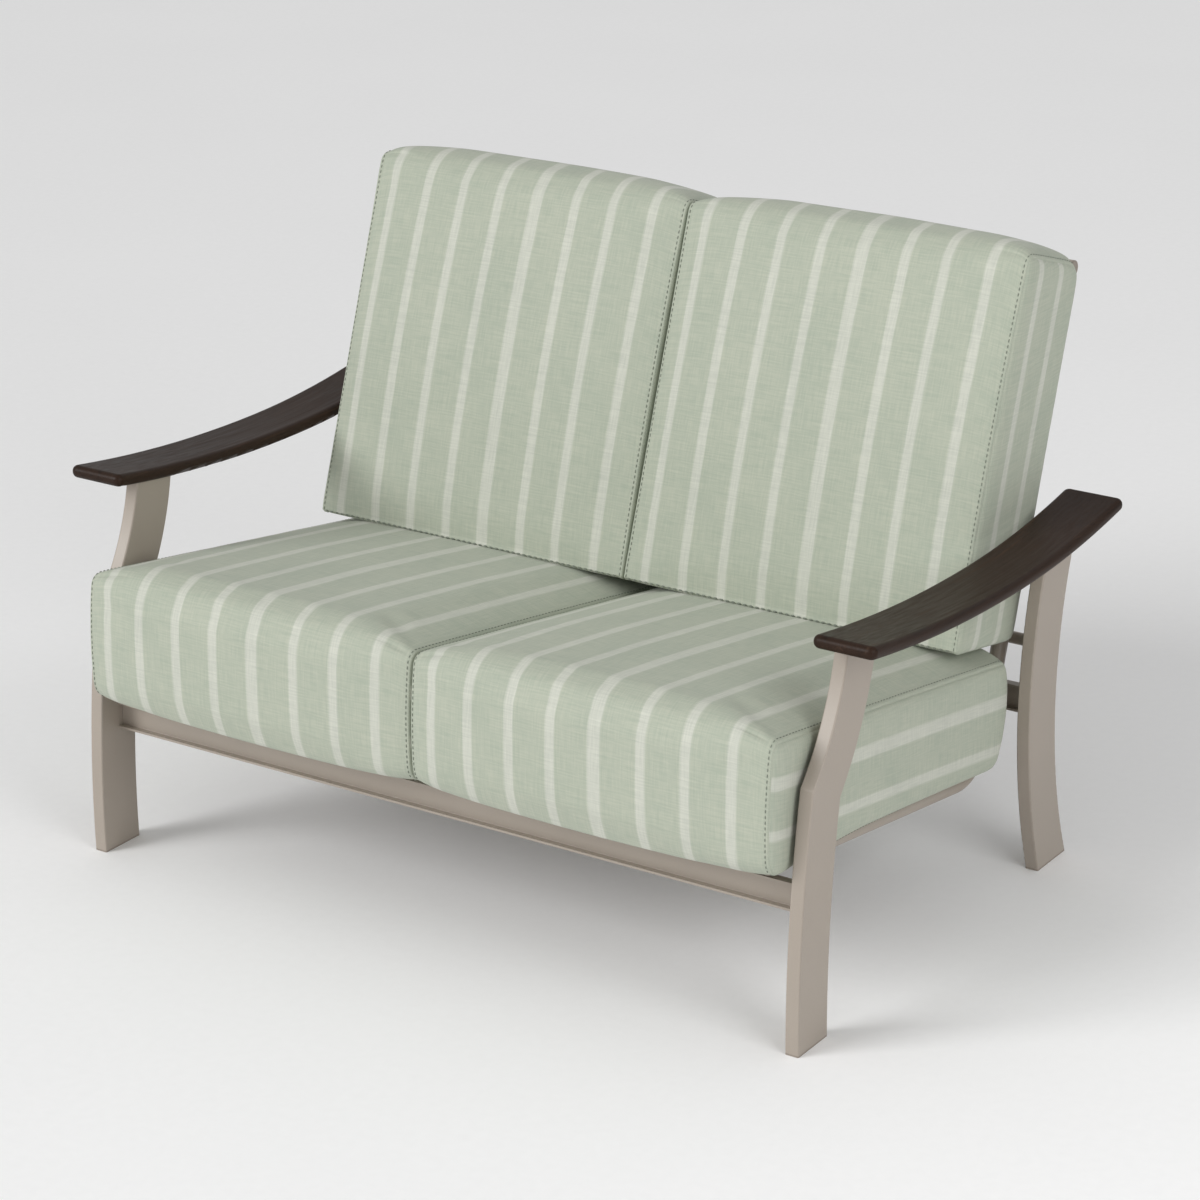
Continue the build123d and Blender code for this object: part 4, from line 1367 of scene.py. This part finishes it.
@dataclass
class SeatCushion(Cushion):
    """A seat cushion: its wrap falls over the front, and its sides are boxed."""

    kind: str = "seat"
    outer_x: float = 0.598
    seam_step: float = 0.01
    across_count: int = 56
    depth_count: int = 66
    height_count: int = 26
    depth_length: float = 0.7
    height_length: float = 0.21
    seam_front: float = -0.4565
    seam_top: float = 0.47
    seam_low_front: float = -0.4625
    seam_low: float = 0.27
    seam_rear: float = 0.2255
    low_rear: float = 0.2025
    top_fall: float = math.tan(math.radians(9.1623))
    above_run: float = 0.0293
    crown_top: float = 0.027
    crown_rear: float = 0.008
    crown_arch: float = 0.006
    front_bulge: float = 0.007
    droop: float = 0.006
    rear_bulge: float = 0.02
    rest: float = 0.0007
    notch: float = -0.4072
    drawn_span: float = 0.2845
    support_share: float = 0.74
    side_rise_share: float = 0.24
    side_start: float = 0.266
    side_span: float = 0.188
    front_rounds: tuple = (0.015, 0.04)
    rear_rounds: tuple = (0.02, 0.034)
    low_round: float = 0.034

    def section(self, crown: float, settle: float, hang: float) -> tuple:
        """Corners, bulges and rounds of one section; see Cushion."""
        full_front = LINES.front + self.front_bulge
        rise_y = mix(self.notch, self.low_rear, mix(self.support_share, self.side_rise_share, hang))

        def seam_top(y: float) -> float:
            """Height of the top seam at a depth."""
            return self.seam_top - (y - self.seam_front) * self.top_fall

        def seam_bottom(y: float) -> float:
            """Height of the bottom seam at a depth."""
            return LINES.run_z(y) + self.above_run

        def support(y: float) -> float:
            """Height of the rails or the sling at a depth."""
            proud = mix(LINES.tube_radius, LINES.sling_half, settle) / math.cos(LINES.slope)
            return LINES.run_z(y) + proud + self.rest

        front = mix(self.seam_front, full_front, crown)
        rear = mix(self.seam_rear, self.seam_rear + self.crown_rear, crown)
        corners = [
            (front, seam_top(front) + self.crown_top * crown),
            (rear, seam_top(rear) + self.crown_top * crown),
            (self.low_rear, seam_bottom(self.low_rear)),
            (rise_y, mix(support(rise_y), seam_bottom(rise_y), hang)),
            (self.notch, mix(support(self.notch), self.seam_low, hang)),
            (mix(self.seam_low_front, full_front, crown), self.seam_low - self.droop * crown),
        ]
        bulges = [self.crown_arch * crown, self.rear_bulge, 0.0, 0.0, 0.0, self.front_bulge]
        rounds = [mix(*self.front_rounds, crown), mix(*self.rear_rounds, crown), self.low_round, 0.0, 0.0,
                  self.low_round]
        return corners, bulges, rounds, (5, 0, 1, 2)

    def middle_distance(self, y: float, z: float) -> float:
        """Share of the drawn-in span, along the depth."""
        return abs(y - (self.seam_front + self.seam_rear) / 2) / self.drawn_span

    def side_cloth(self, y: float, z: float) -> tuple:
        """The stripes of the end panels run to the rear, the wide one some way under the top seam."""
        below = self.seam_top - (y - self.seam_front) * self.top_fall - z
        return (self.side_start + min(below, self.side_span), y)


@dataclass
class BackCushion(Cushion):
    """A back cushion: its wrap goes up the front and over the top."""

    kind: str = "back"
    outer_x: float = 0.583
    seam_step: float = 0.007
    across_count: int = 56
    depth_count: int = 24
    height_count: int = 58
    depth_length: float = 0.18
    height_length: float = 0.59
    rear_gap: float = 0.0255
    rest_gap: float = 0.0013
    seat_gap: float = 0.0009
    front_bottom: float = 0.0935
    seam_height: float = 0.569
    thickness: float = 0.173
    crown_front: float = 0.017
    crown_base: float = 0.003
    crown_top: float = 0.0195
    crown_arch: float = 0.006
    rear_swell: float = 0.004
    corner: tuple = (0.27414, 0.37902)
    side_start: float = 0.003
    side_span: float = 0.16
    front_rounds: tuple = (0.014, 0.042)
    other_rounds: tuple = (0.026, 0.014, 0.009)
    bottom_stitch: tuple = (0.0105, 0.0062, 0.0015)
    zip_height: float = 0.47
    zip_lean: float = math.cos(LINES.recline)

    lean = (math.sin(LINES.recline), math.cos(LINES.recline))

    def __post_init__(self) -> None:
        """Find the height of the front bottom edge, laid on the seat cushions' crown."""
        seat = SeatCushion
        start, end = LINES.front + seat.front_bulge, seat.seam_rear + seat.crown_rear

        def rest_z(y: float) -> float:
            """Height of the cushion's underside over the seat cushions' crown at a depth."""
            along = (y - start) / (end - start)
            arch = 4 * seat.crown_arch * along * (1 - along)
            top = seat.seam_top - (y - seat.seam_front) * seat.top_fall + seat.crown_top
            return top + arch + self.seat_gap

        self.low_front = rest_z(self.front_bottom)
        self.low_fall = (self.low_front - rest_z(seat.seam_rear)) / (seat.seam_rear - self.front_bottom)

    def bottom_z(self, y: float) -> float:
        """Height of the underside at a depth."""
        return self.low_front - (y - self.front_bottom) * self.low_fall

    def point(self, up: float, out: float) -> tuple:
        """Point from the rear bottom corner, up along the recline and out of it."""
        lean_y, lean_z = self.lean
        return (self.corner[0] + lean_y * up - lean_z * out, self.corner[1] + lean_z * up + lean_y * out)

    def section(self, crown: float, settle: float, hang: float) -> tuple:
        """Corners, bulges and rounds of one section; see Cushion."""
        base = self.crown_base * crown
        front = self.front_bottom - base
        swell = self.rear_swell * crown
        height = self.seam_height + self.crown_top * crown
        corners = [
            self.point(height, self.thickness + base),
            self.point(height, -swell),
            self.point(0.0, 0.0),
            (front, self.bottom_z(front)),
        ]
        rear_bulge = self.rear_gap - mix(LINES.tube_radius, LINES.sling_half, settle) - self.rest_gap - swell
        rear_bulge = mix(rear_bulge, rear_bulge / 2, hang) * mix(1.0, crown, hang)
        if crown <= 1e-6:
            rear_bulge = self.rear_swell
        bulges = [self.crown_arch * crown, rear_bulge, 0.0, mix(self.rear_swell / 2, self.crown_front, crown)]
        rounds = [mix(*self.front_rounds, crown), *self.other_rounds]
        return corners, bulges, rounds, (3, 0, 1, 2)

    def middle_distance(self, y: float, z: float) -> float:
        """Share of the drawn-in span, up the recline."""
        lean_y, lean_z = self.lean
        up = (y - self.corner[0]) * lean_y + (z - self.corner[1]) * lean_z
        return abs(up - self.seam_height / 2) / (self.seam_height / 2)

    def side_cloth(self, y: float, z: float) -> tuple:
        """The stripes of the end panels run upwards, the first a little behind the front seam."""
        lean_y, lean_z = self.lean
        behind = self.thickness + (y - self.corner[0]) * lean_z - (z - self.corner[1]) * lean_y
        return (self.side_start + min(behind, self.side_span), z)

    def extra_seams(self, grid: np.ndarray) -> np.ndarray:
        """The seam along the front bottom edge."""
        up = self.rows()[2]
        return np.where(grid[:, 1] == 0, np.interp(up[grid[:, 2]], CLOSE_ROWS, SEAM_RISE), 0.0)

    def seam_paths(self, piece: bpy.types.Object, grid: np.ndarray) -> list:
        """The end seams and the front bottom seam."""
        pairs = [[(a, 0, row) for row in (1, 2)] for a in range(2, self.across_count - 1)]
        return [*super().seam_paths(piece, grid), self.path(piece, grid, pairs, self.bottom_stitch)]


# Studio


@dataclass(frozen=True)
class Studio:
    """Pale floor, soft light and the camera."""

    camera_place: tuple = (2.8818, -4.3839, 2.3939)
    camera_aim: tuple = (0.057, -0.0565, 0.439)
    lens: float = 110.04
    floor_size: float = 60.0
    world_light: float = 0.52
    light_aim: tuple = (0.0, 0.0, 0.45)
    key_place: tuple = (-2.9, -4.3, 3.4)
    key_strength: float = 1.3
    key_angle: float = math.radians(30)
    lamps: tuple = (
        ("front_light", (-2.7, -4.1, 2.1), 1.2, 34.0),
        ("fill_light", (4.0, -1.6, 2.4), 2.4, 60.0),
    )

    def build(self, finishes: Finishes) -> None:
        """Make the floor, the lights and the camera.

        Args:
            finishes: The materials.
        """
        put_down_all()
        bpy.ops.mesh.primitive_plane_add(size=self.floor_size)
        floor = settled(bpy.context.active_object, "floor")
        floor.data.materials.append(finishes.floor)
        world = bpy.data.worlds.new("studio")
        bpy.context.scene.world = world
        world.use_nodes = True
        background = world.node_tree.nodes["Background"]
        background.inputs["Color"].default_value = grey(1.0)
        background.inputs["Strength"].default_value = self.world_light
        self.sun("key_light", self.key_place, self.key_strength)
        for lamp in self.lamps:
            self.lamp(*lamp)
        camera = bpy.data.objects.new("camera", bpy.data.cameras.new("camera"))
        bpy.context.scene.collection.objects.link(camera)
        camera.data.lens = self.lens
        camera.data.sensor_width = 36.0
        camera.location = self.camera_place
        aim = Vector(self.camera_aim) - Vector(self.camera_place)
        camera.rotation_euler = aim.to_track_quat("-Z", "Y").to_euler()
        bpy.context.scene.camera = camera
        bpy.context.scene.view_settings.view_transform = "Standard"

    def lamp(self, name: str, place: tuple, size: float, power: float) -> None:
        """Hang one soft light that shines on the middle of the seat."""
        light = bpy.data.lights.new(name, "AREA")
        light.size = size
        light.energy = power
        self.hang(name, light, place)

    def sun(self, name: str, place: tuple, strength: float) -> None:
        """Hang one wide distant light, which is even all over the floor."""
        light = bpy.data.lights.new(name, "SUN")
        light.angle = self.key_angle
        light.energy = strength
        self.hang(name, light, place)

    def hang(self, name: str, light: bpy.types.Light, place: tuple) -> None:
        """Hang a light at a place, turned to the middle of the seat."""
        lamp = bpy.data.objects.new(name, light)
        bpy.context.scene.collection.objects.link(lamp)
        lamp.location = place
        lamp.rotation_euler = (Vector(self.light_aim) - Vector(place)).to_track_quat("-Z", "Y").to_euler()


def main() -> None:
    """Build the loveseat's looks in order."""
    logging.basicConfig(level=logging.INFO, format="%(name)s: %(message)s")
    finishes = Finishes()
    Studio().build(finishes)
    MetalFrame().dress(finishes)
    make_slings(finishes)
    for side in Side:
        SeatCushion(side, finishes.seat_canvas).build(finishes)
        BackCushion(side, finishes.back_canvas).build(finishes)


if __name__ == "__main__":
    main()
